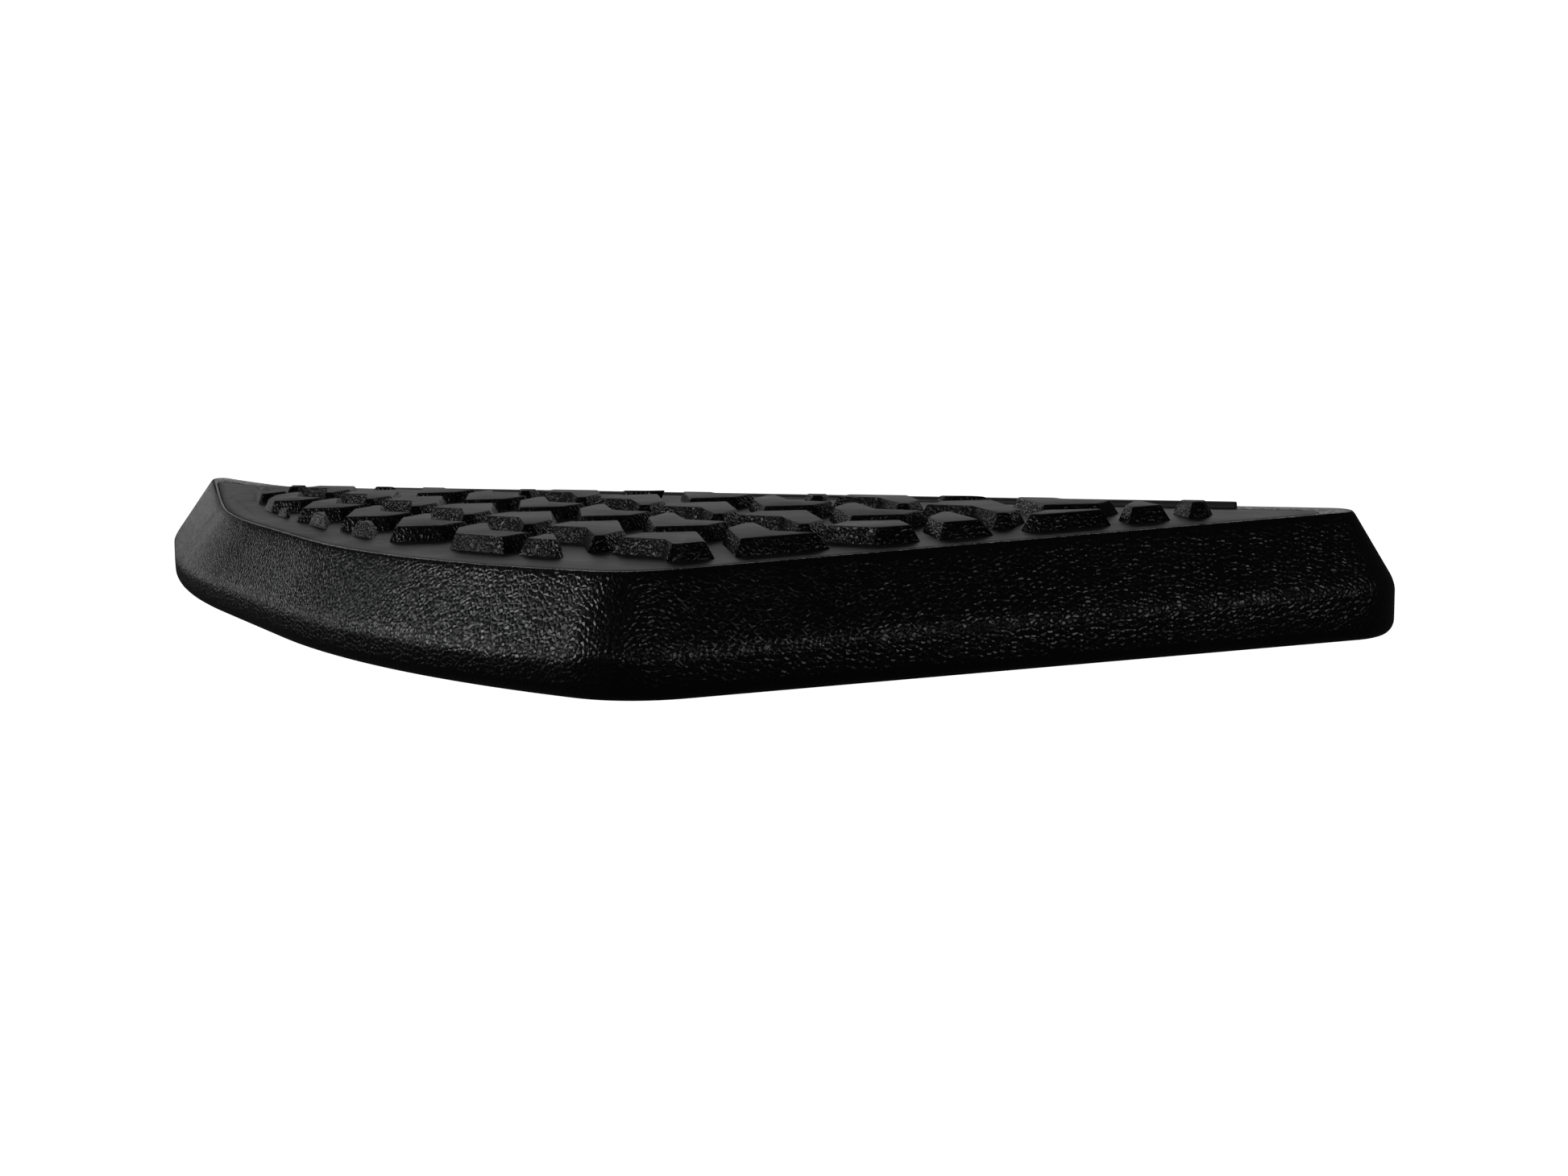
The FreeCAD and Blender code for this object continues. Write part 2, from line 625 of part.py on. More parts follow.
def build_plate_screws():
    """Countersunk screws that hold each mounting plate and its isolator to the main beam."""
    screws = []
    for side, x0 in PLATE_PLACES:
        for k in (-0.5, 0.5):
            name = "%s_%s" % (side, "a" if k < 0 else "b")
            x = x0 + k * dim("plate_screw_spacing")
            head = doc.addObject("Part::Cone", "plate_head_" + name)
            bind(head, Radius1="Dims.plate_screw_head", Radius2="Dims.plate_screw_radius",
                 Height="Dims.plate_screw_head_height")
            head.Placement = Placement(Vector(x, dim("main_y"), dim("plate_bottom")), Rotation())
            shank_z = dim("plate_bottom") + dim("plate_screw_head_height")
            shank = cylinder("plate_shank_" + name, x, dim("main_y"), shank_z,
                             "Dims.plate_screw_radius", "Dims.plate_screw_length")
            screw = doc.addObject("Part::Fuse", "plate_screw_" + name)
            screw.Base = head
            screw.Tool = shank
            screws.append(screw)
    return group("plate_screws", screws)


def build_weld_nuts():
    """Hexagon weld nuts on the mounting plates, threaded for the vehicle's bracket bolts."""
    nuts = []
    z = dim("plate_bottom") + dim("plate_thickness")
    for i, (x, y) in enumerate(NUT_PLACES):
        body = doc.addObject("Part::Prism", "nut_body_%d" % i)
        bind(body, Circumradius="Dims.nut_width / sqrt(3)", Height="Dims.nut_height")
        body.Placement = Placement(Vector(x, y, z), Rotation())
        bore = cylinder("nut_bore_%d" % i, x, y, z, "Dims.nut_thread_radius", "Dims.nut_height")
        nuts.append(cut("nut_%d" % i, body, bore))
    return group("weld_nuts", nuts)


NUT_PLACES = [(x0 + k * dim("nut_spacing"), dim("main_y")) for side, x0 in PLATE_PLACES for k in (-0.5, 0.5)]


# ---------------------------------------------------------------- assembly
def at(x, y, z, turn=0.0):
    return Placement(Vector(x, y, z), Rotation(Vector(0, 0, 1), turn))


def build_frame():
    """Steel frame: two beams joined by cross members, with plugs in their ends."""
    pieces = []
    main_x, main_y = dim("main_x"), dim("main_y")
    outer_x, outer_y = dim("outer_x"), dim("outer_y")
    screw_holes = [(x - main_x, 0.0) for x, y in COVER_SCREW_PLACES if y == main_y]
    floor_holes = [(x - main_x, 0.0, "Dims.nut_clearance_radius") for x, y in NUT_PLACES]
    for side, x0 in PLATE_PLACES:
        for k in (-0.5, 0.5):
            floor_holes.append((x0 - main_x + k * dim("plate_screw_spacing"), 0.0, "Dims.plate_screw_radius"))
    pieces.append(build_tube("main_beam", "YZ_Plane", "Dims.main_width", "Dims.main_length",
                             at(main_x, main_y, beam_middle), screw_holes, floor_holes))
    outer_holes = [(x - outer_x, 0.0) for x, y in COVER_SCREW_PLACES if y == outer_y]
    pieces.append(build_tube("outer_beam", "YZ_Plane", "Dims.outer_width", "Dims.outer_length",
                             at(outer_x, outer_y, beam_middle), outer_holes))
    cross_y = (main_y - dim("main_width") / 2 + outer_y + dim("outer_width") / 2) / 2
    span = "Dims.main_y - Dims.outer_y - (Dims.main_width + Dims.outer_width) / 2"
    for name, k in CROSS_PLACES:
        place = at(outer_x + k * dim("cross_pitch"), cross_y, beam_middle)
        pieces.append(build_tube("cross_member_" + name, "XZ_Plane", "Dims.cross_width", span, place))
    for name, centre_x, centre_y, length, width in (
            ("main_plug", main_x, main_y, dim("main_length"), "Dims.main_width"),
            ("outer_plug", outer_x, outer_y, dim("outer_length"), "Dims.outer_width")):
        left = at(centre_x - length / 2, centre_y, beam_middle, 180.0)
        right = at(centre_x + length / 2, centre_y, beam_middle)
        pieces.append(build_plug(name + "_left", width, left))
        pieces.append(build_plug(name + "_right", width, right))
    return pieces


def build_mounts():
    """Mounting plates, their rubber isolators and their fasteners."""
    pieces = []
    nut_half = dim("nut_spacing") / 2
    screw_half = dim("plate_screw_spacing") / 2
    thread_holes = [(x, "Dims.bolt_hole_radius") for x in (-nut_half, nut_half)]
    isolator_holes = [(x, "Dims.nut_clearance_radius") for x in (-nut_half, nut_half)]
    screw_holes = [(x, "Dims.plate_screw_radius") for x in (-screw_half, screw_half)]
    for side, x in PLATE_PLACES:
        plate = build_plate("mount_plate_" + side, "Dims.plate_thickness",
                            at(x, dim("main_y"), dim("plate_bottom")), thread_holes + screw_holes)
        add_countersinks(plate, dim("plate_screw_radius"), "Dims.plate_screw_head_height")
        pieces.append(plate)
        z = dim("plate_bottom") + dim("plate_thickness")
        pieces.append(build_plate("isolator_" + side, "Dims.isolator_thickness",
                                  at(x, dim("main_y"), z), isolator_holes + screw_holes))
    pieces.append(build_weld_nuts())
    pieces.append(build_plate_screws())
    return pieces


washer_z = dim("beam_bottom") - dim("washer_thickness")
pieces = [
    add_shape("cover", build_cover(), Placement()),
    add_shape("tread_pad", build_pad(), deck_placement()),
    add_shape("push_nuts", build_push_nuts(), deck_placement()),
    build_strip(),
]
pieces += build_frame()
pieces += build_mounts()
pieces += [
    build_cover_screws(),
    build_rings("washers", COVER_SCREW_PLACES, washer_z, "Dims.washer_radius",
                "Dims.cover_screw_radius", "Dims.washer_thickness"),
    build_rings("thread_inserts", COVER_SCREW_PLACES, beam_top, "Dims.insert_radius",
                "Dims.cover_screw_radius", "Dims.insert_length"),
]
doc.recompute()

# ---------------------------------------------------------------- checks and export
for item in doc.Objects:
    if any(word in item.State for word in ("Invalid", "Error")):
        raise RuntimeError("failed: " + item.Label)
for piece in pieces:
    if piece.Shape.isNull() or not piece.Shape.isValid():
        raise RuntimeError("bad shape: " + piece.Label)

os.makedirs("parts", exist_ok=True)
box = FreeCAD.BoundBox()
for piece in pieces:
    piece.Shape.exportStep("parts/%s.step" % piece.Label)
    box.add(piece.Shape.BoundBox)
    print("%-22s solids %3d volume %9.1f" % (piece.Label, len(piece.Shape.Solids), piece.Shape.Volume))
print("pieces", len(pieces), "box", box)
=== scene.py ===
import json
import math

import bmesh
import bpy
from mathutils import Matrix, Vector


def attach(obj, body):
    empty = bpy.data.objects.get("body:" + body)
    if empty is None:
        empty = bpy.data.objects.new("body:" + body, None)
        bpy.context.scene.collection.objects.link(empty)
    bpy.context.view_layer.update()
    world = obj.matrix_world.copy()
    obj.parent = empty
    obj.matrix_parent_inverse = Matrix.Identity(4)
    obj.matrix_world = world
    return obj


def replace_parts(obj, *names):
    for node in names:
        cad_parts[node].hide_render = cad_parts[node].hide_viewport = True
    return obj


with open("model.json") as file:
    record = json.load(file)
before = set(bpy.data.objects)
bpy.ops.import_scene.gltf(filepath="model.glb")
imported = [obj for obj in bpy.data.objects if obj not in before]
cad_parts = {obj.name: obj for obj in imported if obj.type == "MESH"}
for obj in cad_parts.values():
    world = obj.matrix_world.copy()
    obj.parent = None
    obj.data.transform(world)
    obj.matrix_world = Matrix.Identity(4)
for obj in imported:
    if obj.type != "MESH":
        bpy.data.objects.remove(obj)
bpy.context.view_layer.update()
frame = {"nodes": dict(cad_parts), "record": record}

# Running board: a moulded cover with a sloping skirt, an inlaid tyre-tread pad, an edge strip, and a
# steel frame underneath. Sizes are in millimetres and become metres as each mesh is made.

MM = 0.001

# ------------------------------------------------------------------ plan, as in the CAD model
HALF_WIDTH = 87.0
NEAR_CORNER_X = 128.4
BEND_X = 36.6
TIP_X = -262.4
END_ANGLE = 50.0
SWEEP_ANGLE = 25.2
TIP_ANGLE = 36.0
# corners: outer right, inner right, tip, kink of the swept side, bend from the swept side to the front
CORNER_RADII = (26.0, 8.0, 4.0, 490.0, 370.0)
CORNER_SHARES = (0.45, 0.45, 0.45, 0.45, 0.8)
LEAST_RADIUS = 1.0
ARC_STEPS = (16, 20, 20, 18, 34)
# sides that follow these corners: right end, inner side, side at the tip, swept side, front
SIDE_STEPS = (34, 96, 14, 30, 6)

# ------------------------------------------------------------------ deck
DECK_HEIGHT = 32.0
TILT = math.radians(1.2)
TILT_HEADING = math.radians(-30.0)
TILT_AXIS = Vector((math.cos(TILT_HEADING), math.sin(TILT_HEADING), 0.0))
DECK = Matrix.Translation((0, 0, DECK_HEIGHT)) @ Matrix.Rotation(TILT, 4, TILT_AXIS)
DECK_WALL = 3.0
RECESS = 2.4
RIM_WIDTH = 1.6
STRIP_SHELF = 9.0
# curl of the tip, which the CAD model leaves out
TIP_CURL = 5.8
TIP_CURL_REACH = 80.0
TIP_CURL_POWER = 1.5

# ------------------------------------------------------------------ skirt
FLARE = 12.0
SWEEP_FLARE = 10.0
SWEEP_SPREAD = 2.2
TIP_FLARE = 19.0
WALL = 3.0
WALL_LEAN = 0.58
TIP_WALL_LEAN = 0.8
FOOT_TUCK = 4.0
FOOT_HEIGHT = 4.5
FOOT_STEPS = 7
FOOT_INSIDE = 1.4
CREASE_HEIGHT = 10.0
CREASE_TOP = 11.6
CREASE_IN = 0.5
CREASE_RISES = (1.2, 4.6, -2.5, 0.0, 0.0)
LEVEL = (0.0, 0.0, 0.0, 0.0, 0.0)
# rounding of the crease: it starts below the crease, is drawn towards a ring just above it, and ends
# at this part of the way from the crease's top to the deck
CREASE_BELOW = 1.6
CREASE_ABOVE = 0.9
CREASE_PART = 0.12
CREASE_STEPS = 7
FACE_PART = 0.95
FACE_STEPS = 9
# rounded border of the deck: height, and place against the border at most sides, at the tip's side
# and at the inner side
BORDER_ROUNDING = [(-0.42, 0.1, 0.16, 0.1), (-0.12, -0.22, -0.2, -0.22), (0.0, -0.6, -0.6, -0.6)]
# wall of the recess: height, and place against the inner edge of the rim
RECESS_WALL = [(0.0, 0.35), (-0.1, 0.08), (-0.4, 0.0), (-RECESS, 0.0)]
SEAT_WIDTH = 12.0
STRIP_SEAT_WIDTH = 3.0
CAVITY_STEPS = 4
CAVITY_PART = 0.97
ROOF_ROUNDING = 0.8
MERGE_DISTANCE = 0.0005

# ------------------------------------------------------------------ tread pad
PAD_GAP = 0.15
# edge of the pad: height, and how far it lies inside the pad's border
PAD_EDGE = [(-RECESS, 0.0), (-0.45, 0.0), (-0.12, 0.1), (0.0, 0.45), (0.0, 3.0)]
LUG_HEIGHT = 4.6
LUG_DRAFT = 2.1
LUG_MARGIN = 16.0
LUG_FRONT_MARGIN = 21.0
LUG_INNER_MARGIN = 26.0
LUG_PITCH = 90.0
ROW_SHIFT = 46.6
ROW_ANGLE = 11.9
ROW_SHIFT_ANGLE = 145.3
ROW_HEADING = math.radians(ROW_ANGLE)
SHIFT_HEADING = math.radians(ROW_ANGLE + ROW_SHIFT_ANGLE)
LUG_START = Vector((7.0, -51.0))
LUG_CORNERS = [(0, 0), (15.2, 2.6), (17.3, 13.1), (1.4, 16.9), (-11.0, 36.5), (-13.6, 35.5), (-14.0, 24.4)]
LUG_TWIN = (70.0, 15.5)
LUG_ROWS = range(-5, 9)
LUG_COLUMNS = range(-6, 8)
LUG_REACH = (300.0, 110.0)
LUG_SINK = 0.3
LUG_ROUNDING = 0.55
LUG_ROUNDING_SEGMENTS = 3
LUG_ROUNDING_PROFILE = 0.55
SHARP_TURN = math.radians(12)
MITRE_LIMIT = 1.8
# a lug that the margin cuts keeps its height while its top is this large, and is a low pyramid otherwise
LEAST_TOP_AREA = 14.0
LEAST_FOOT_AREA = 22.0
PYRAMID_TOP_AREA = 1.6
PYRAMID_STEPS = 24
SHORTEST_EDGE = 1e-6
SHORTEST_SIDE = 0.25
STRAIGHTEST_TURN = 0.004

PEG_PLACES = [(-190.0, 68.0), (-90.0, 70.0), (20.0, 70.0), (130.0, 70.0), (222.0, 70.0), (-100.0, 0.0),
              (-30.0, -20.0), (34.0, -20.0), (94.0, -20.0), (158.0, -10.0), (64.0, -74.0)]
PEG_RADIUS = 2.5
PEG_LENGTH = 6.2
PEG_ROOT = 2.0
PEG_CHAMFER = 0.6
PEG_END_RADIUS = 0.5
PEG_STEPS = 24
PEG_ROOM = 7.0

# ------------------------------------------------------------------ edge strip
STRIP_X = 44.0
STRIP_Y = 82.6
STRIP_LENGTH = 372.0
STRIP_WIDTH = 5.0
STRIP_HEIGHT = 1.8
STRIP_STEPS = 60
STRIP_END_STEPS = 8
STRIP_ARC_STEPS = 18
STRIP_END_PART = 0.05
STRIP_FULLNESS = 0.6
STRIP_GROOVE_DEPTH = 0.12
STRIP_GROOVE_WAVES = 1.5
STRIP_GROOVE_PART = 0.6

# ------------------------------------------------------------------ ribs and bosses under the deck
BEAM_TOP = 21.5
BEAM_CLEARANCE = 0.3
RIB_BOTTOM = 12.0
RIB_HALF = 1.1
RIB_PITCH = 40.0
RIB_COLUMNS = range(-6, 6)
RIB_ROWS = (-22.0, 68.0)
RIB_OVERLAP = 0.4
RIB_LEAST = 2.0
RIB_ROUNDING = 0.45
RIB_ROUNDING_SEGMENTS = 2
RIB_ROUNDING_PROFILE = 0.6
# rooms for the frame: lowest and highest x and y
FRAME_ROOMS = [(-173.0, 213.0, 19.0, 61.0), (-15.0, 143.0, -63.0, -41.0),
               (-8.0, 14.0, -52.0, 40.0), (53.0, 75.0, -52.0, 40.0), (114.0, 136.0, -52.0, 40.0)]
SCREW_PLACES = [(-145.0, 40.0), (20.0, 40.0), (185.0, 40.0), (-2.0, -52.0), (64.0, -52.0), (130.0, -52.0)]
INSERT_RADIUS = 3.5
BORE_DEPTH = 5.0
BORE_CHAMFER = 0.4
BOSS_RADIUS = 6.5
BOSS_CHAMFER = 0.5
BOSS_STEPS = 32
# flare where a boss meets the deck: distance out, and height against the deck's underside
BOSS_ROOT = [(0.1, -1.2), (0.6, -0.4), (1.4, 0.3)]

SMOOTH_ANGLE = 32.0
PAD_SMOOTH_ANGLE = 28.0


# ------------------------------------------------------------------ outline of the board
def side_corners(front, right, inner, left, sweep, spread):
    """Corners of the plan outline, anticlockwise, with each side moved out by its own distance."""
    sides = [
        (BEND_X, -HALF_WIDTH, -90.0, front),
        (NEAR_CORNER_X, -HALF_WIDTH, END_ANGLE - 90.0, right),
        (0.0, HALF_WIDTH, 90.0, inner),
        (TIP_X, HALF_WIDTH, -90.0 - TIP_ANGLE, left),
        (BEND_X, -HALF_WIDTH, -90.0 - SWEEP_ANGLE + spread, sweep),
    ]
    lines = []
    for x, y, outward, distance in sides:
        across = Vector((math.cos(math.radians(outward)), math.sin(math.radians(outward))))
        lines.append((across, across.dot(Vector((x, y))) + distance))
    corners = []
    for i, (first, first_reach) in enumerate(lines):
        second, second_reach = lines[(i + 1) % len(lines)]
        scale = first.x * second.y - first.y * second.x
        corners.append(Vector(((first_reach * second.y - second_reach * first.y) / scale,
                               (second_reach * first.x - first_reach * second.x) / scale)))
    return corners


def corner_arc(i, corners, grow, rise):
    """Arc that rounds one corner of the outline, at a height."""
    corner = corners[i]
    to_last = corners[i - 1] - corner
    to_next = corners[(i + 1) % len(corners)] - corner
    half = to_last.angle(to_next) / 2
    wanted = max(CORNER_RADII[i] + grow, LEAST_RADIUS) / math.tan(half)
    reach = min(wanted, CORNER_SHARES[i] * min(to_last.length, to_next.length))
    radius = reach * math.tan(half)
    inward = (to_last.normalized() + to_next.normalized()).normalized()
    centre = corner + inward * (radius / math.sin(half))
    start = corner + to_last.normalized() * reach - centre
    turn = math.pi - 2 * half
    steps = ARC_STEPS[i]
    return [(centre + Matrix.Rotation(turn * k / steps, 2) @ start).to_3d() + Vector((0, 0, rise))
            for k in range(steps + 1)]


def outline(grow, left=None, inner=None, sweep=None, spread=0.0, rises=LEVEL, front=None):
    """Points of the outline, grown by a distance; every outline has the same number of points."""
    left = grow if left is None else left
    inner = grow if inner is None else inner
    sweep = grow if sweep is None else sweep
    front = grow if front is None else front
    corners = side_corners(front, grow, inner, left, sweep, spread)
    arcs = [corner_arc(i, corners, grow, rise) for i, rise in enumerate(rises)]
    points = []
    for i, arc in enumerate(arcs):
        points += arc
        begin, end = arc[-1], arcs[(i + 1) % len(arcs)][0]
        points += [begin.lerp(end, k / SIDE_STEPS[i]) for k in range(1, SIDE_STEPS[i])]
    return points


def lift(x, y):
    """How far the deck curls up towards its pointed tip."""
    near = max(0.0, 1.0 - math.hypot(x - TIP_X, y - HALF_WIDTH) / TIP_CURL_REACH)
    return TIP_CURL * near ** TIP_CURL_POWER


def on_deck(x, y, z):
    """Point over the deck, which is a tilted plane with a slight curl at the tip."""
    return DECK @ Vector((x, y, z + lift(x, y)))


def slope_at(x, y):
    """Height of the tilted deck plane over its middle."""
    normal = DECK.to_3x3() @ Vector((0, 0, 1))
    return lift(x, y) - (normal.x * x + normal.y * y) / normal.z


def roof_at(x, y):
    """Height of the underside of the deck."""
    return DECK_HEIGHT - RECESS - DECK_WALL + slope_at(x, y)


def skirt_ring(z, inset, rises=LEVEL):
    """Outline of the skirt at its widest, moved in by a distance."""
    plan = outline(FLARE - inset, TIP_FLARE - inset, None, SWEEP_FLARE - inset, SWEEP_SPREAD, rises)
    return [Vector((p.x, p.y, z + p.z)) for p in plan]


def deck_ring(z, grow, left=None, inner=None):
    """Outline of the deck's border, grown by a distance, at a height over the deck."""
    return [on_deck(p.x, p.y, z) for p in outline(grow, left, inner)]


def mix_rings(low, high, part):
    return [a.lerp(b, part) for a, b in zip(low, high)]


def circle(x, y, radius, z, steps, turn=1):
    """Points of a level circle, anticlockwise, or clockwise if turn is -1."""
    angles = [turn * 2 * math.pi * k / steps for k in range(steps)]
    return [Vector((x + radius * math.cos(a), y + radius * math.sin(a), z)) for a in angles]


# ------------------------------------------------------------------ mesh helpers
def new_object(name, bm, materials, smooth_angle=SMOOTH_ANGLE):
    """Object in metres from a mesh drawn in millimetres, which rides on the board."""
    bmesh.ops.scale(bm, vec=(MM, MM, MM), verts=bm.verts)
    mesh = bpy.data.meshes.new(name)
    bm.to_mesh(mesh)
    bm.free()
    for material in materials:
        mesh.materials.append(material)
    mesh.polygons.foreach_set("use_smooth", [True] * len(mesh.polygons))
    mesh.set_sharp_from_angle(angle=math.radians(smooth_angle))
    piece = bpy.data.objects.new(name, mesh)
    bpy.context.collection.objects.link(piece)
    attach(piece, "root")
    return piece


def add_rings(bm, rings, cap_first=False, cap_last=False):
    """Skin through closed rings that have the same number of points."""
    rows = [[bm.verts.new(p) for p in ring] for ring in rings]
    count = len(rows[0])
    for low, high in zip(rows, rows[1:]):
        for i in range(count):
            k = (i + 1) % count
            bm.faces.new((low[i], low[k], high[k], high[i]))
    if cap_first:
        bm.faces.new(list(reversed(rows[0])))
    if cap_last:
        bm.faces.new(rows[-1])


def bezier(a, b, c, part):
    return (1 - part) ** 2 * a + 2 * part * (1 - part) * b + part ** 2 * c


# ------------------------------------------------------------------ materials
def new_material(name):
    material = bpy.data.materials.new(name)
    material.use_nodes = True
    tree = material.node_tree
    shader = tree.nodes["Principled BSDF"]
    coords = tree.nodes.new("ShaderNodeTexCoord")
    return material, tree, shader, coords.outputs["Object"]


def add_noise(tree, where, scale, detail=4.0, rough=0.55):
    noise = tree.nodes.new("ShaderNodeTexNoise")
    noise.inputs["Scale"].default_value = scale
    noise.inputs["Detail"].default_value = detail
    noise.inputs["Roughness"].default_value = rough
    tree.links.new(where, noise.inputs["Vector"])
    return noise.outputs["Fac"]


def add_range(tree, value, low, high, to_low, to_high):
    node = tree.nodes.new("ShaderNodeMapRange")
    for name, number in (("From Min", low), ("From Max", high), ("To Min", to_low), ("To Max", to_high)):
        node.inputs[name].default_value = number
    tree.links.new(value, node.inputs["Value"])
    return node.outputs["Result"]


def add_math(tree, operation, first, second):
    node = tree.nodes.new("ShaderNodeMath")
    node.operation = operation
    for i, item in enumerate((first, second)):
        if isinstance(item, (int, float)):
            node.inputs[i].default_value = item
        else:
            tree.links.new(item, node.inputs[i])
    return node.outputs[0]


def add_bump(tree, shader, height, distance):
    bump = tree.nodes.new("ShaderNodeBump")
    bump.inputs["Strength"].default_value = 1.0
    bump.inputs["Distance"].default_value = distance
    tree.links.new(height, bump.inputs["Height"])
    tree.links.new(bump.outputs["Normal"], shader.inputs["Normal"])


def add_tint(tree, shader, factor, dark, light):
    mix = tree.nodes.new("ShaderNodeMix")
    mix.data_type = "RGBA"
    mix.inputs["A"].default_value = (*dark, 1.0)
    mix.inputs["B"].default_value = (*light, 1.0)
    tree.links.new(factor, mix.inputs["Factor"])
    tree.links.new(mix.outputs["Result"], shader.inputs["Base Color"])


def add_stretch(tree, where, scale, turn=0.0):
    """Coordinates turned round the upright axis and scaled by a factor for each axis."""
    stretch = tree.nodes.new("ShaderNodeMapping")
    stretch.inputs["Scale"].default_value = scale
    stretch.inputs["Rotation"].default_value = (0.0, 0.0, turn)
    tree.links.new(where, stretch.inputs["Vector"])
    return stretch.outputs["Vector"]


def add_wobble(tree, where, scale, size):
    """Coordinates moved about by a noise, by up to half the size each way."""
    shift = tree.nodes.new("ShaderNodeTexNoise")
    shift.inputs["Scale"].default_value = scale
    shift.inputs["Detail"].default_value = 2.0
    tree.links.new(where, shift.inputs["Vector"])
    centre = tree.nodes.new("ShaderNodeVectorMath")
    centre.operation = "SUBTRACT"
    centre.inputs[1].default_value = (0.5, 0.5, 0.5)
    tree.links.new(shift.outputs["Color"], centre.inputs[0])
    move = tree.nodes.new("ShaderNodeVectorMath")
    move.operation = "MULTIPLY_ADD"
    move.inputs[1].default_value = (size, size, size)
    tree.links.new(centre.outputs[0], move.inputs[0])
    tree.links.new(where, move.inputs[2])
    return move.outputs[0]


GRAIN_WOBBLE = 0.0006
GRAIN_WOBBLE_SCALE = 0.45
GRAIN_VALLEY = 0.32
PORE_SCALE = 2600.0
PORE_SHARE = 0.25
PORE_SHEEN_SHARE = 0.6
PATCH_SCALE = 22.0


def add_pebbles(tree, where, scale):
    """Height of a moulded pebble grain: rounded cells with thin valleys, a little irregular."""
    moved = add_wobble(tree, where, scale * GRAIN_WOBBLE_SCALE, GRAIN_WOBBLE)
    cells = tree.nodes.new("ShaderNodeTexVoronoi")
    cells.feature = "DISTANCE_TO_EDGE"
    cells.inputs["Scale"].default_value = scale
    tree.links.new(moved, cells.inputs["Vector"])
    return add_range(tree, cells.outputs["Distance"], 0.0, GRAIN_VALLEY, 0.0, 1.0)


def make_grained(name, dark, light, rough, depth, cell, specular):
    """Black moulded plastic with a pebble grain, soft patches of sheen and finer pores; its colour is
    painted shade, darker in the grain's valleys, mixed with random patches of tone.
    """
    material, tree, shader, where = new_material(name)
    pebbles = add_pebbles(tree, where, 1.0 / cell)
    pores = add_noise(tree, where, PORE_SCALE, 3.0)
    patches = add_noise(tree, where, PATCH_SCALE, 5.0)
    height = add_math(tree, "ADD", pebbles, add_math(tree, "MULTIPLY", pores, PORE_SHARE))
    add_bump(tree, shader, height, depth)
    # Painted shade: the colour follows the cells' height, so it is darker in the grain's valleys, and it
    # also varies with random patches of tone.
    valley_shade_and_patches = add_math(tree, "MULTIPLY", add_math(tree, "ADD", pebbles, patches), 0.5)
    add_tint(tree, shader, valley_shade_and_patches, dark, light)
    both = add_math(tree, "ADD", patches, add_math(tree, "MULTIPLY", pores, PORE_SHEEN_SHARE))
    sheen = add_range(tree, both, 0.4, 1.2, rough - 0.07, rough + 0.09)
    tree.links.new(sheen, shader.inputs["Roughness"])
    shader.inputs["Specular IOR Level"].default_value = specular
    return material


FINE_SCALE = 3400.0
FLOW_SCALE = 35.0
SCUFF_STRETCH = (18.0, 150.0, 60.0)
SCUFF_TURN = 0.5
SCUFF_SCALE = 3.0
SCUFF_SHARE = 0.8


def make_smooth(name, dark, light, rough, depth):
    """Matte moulded plastic with a spark-eroded finish, faint flow marks and scuffs."""
    material, tree, shader, where = new_material(name)
    fine = add_noise(tree, where, FINE_SCALE, 3.0)
    flow = add_noise(tree, where, FLOW_SCALE, 6.0, 0.6)
    stretched = add_stretch(tree, where, SCUFF_STRETCH, SCUFF_TURN)
    scuffs = add_noise(tree, stretched, SCUFF_SCALE, 8.0, 0.7)
    height = add_math(tree, "ADD", fine, add_math(tree, "MULTIPLY", scuffs, SCUFF_SHARE))
    add_bump(tree, shader, height, depth)
    add_tint(tree, shader, add_range(tree, flow, 0.3, 0.7, 0.0, 1.0), dark, light)
    worn = add_math(tree, "ADD", flow, scuffs)
    sheen = add_range(tree, worn, 0.7, 1.3, rough - 0.06, rough + 0.08)
    tree.links.new(sheen, shader.inputs["Roughness"])
    return material


BRUSH_STRETCH = (1.0, 14.0, 14.0)
CLOUD_SCALE = 60.0
CLOUD_DARK = 0.82
CLOUD_LIGHT = 1.14
RELIEF_SHARE = 0.5


def make_metal(name, colour, rough, metallic, speck, depth, brushed=False):
    """Metal or coated metal with fine relief, uneven roughness and slightly varied colour."""
    material, tree, shader, where = new_material(name)
    source = add_stretch(tree, where, BRUSH_STRETCH) if brushed else where
    relief = add_noise(tree, source, speck, 4.0)
    cloud = add_noise(tree, where, CLOUD_SCALE, 5.0)
    add_bump(tree, shader, relief, depth)
    dark = tuple(c * CLOUD_DARK for c in colour)
    light = tuple(min(c * CLOUD_LIGHT, 1.0) for c in colour)
    add_tint(tree, shader, cloud, dark, light)
    both = add_math(tree, "ADD", cloud, add_math(tree, "MULTIPLY", relief, RELIEF_SHARE))
    sheen = add_range(tree, both, 0.4, 1.1, rough - 0.08, rough + 0.1)
    tree.links.new(sheen, shader.inputs["Roughness"])
    shader.inputs["Metallic"].default_value = metallic
    return material


# The dark colour is painted shade in the grain's valleys and in its darker random patches; the light
# colour is for the cell tops and the lighter patches.
GRAIN_DARK = (0.002, 0.002, 0.0021)
GRAIN_LIGHT = (0.005, 0.005, 0.0052)
GRAIN_DEPTH = 0.00012

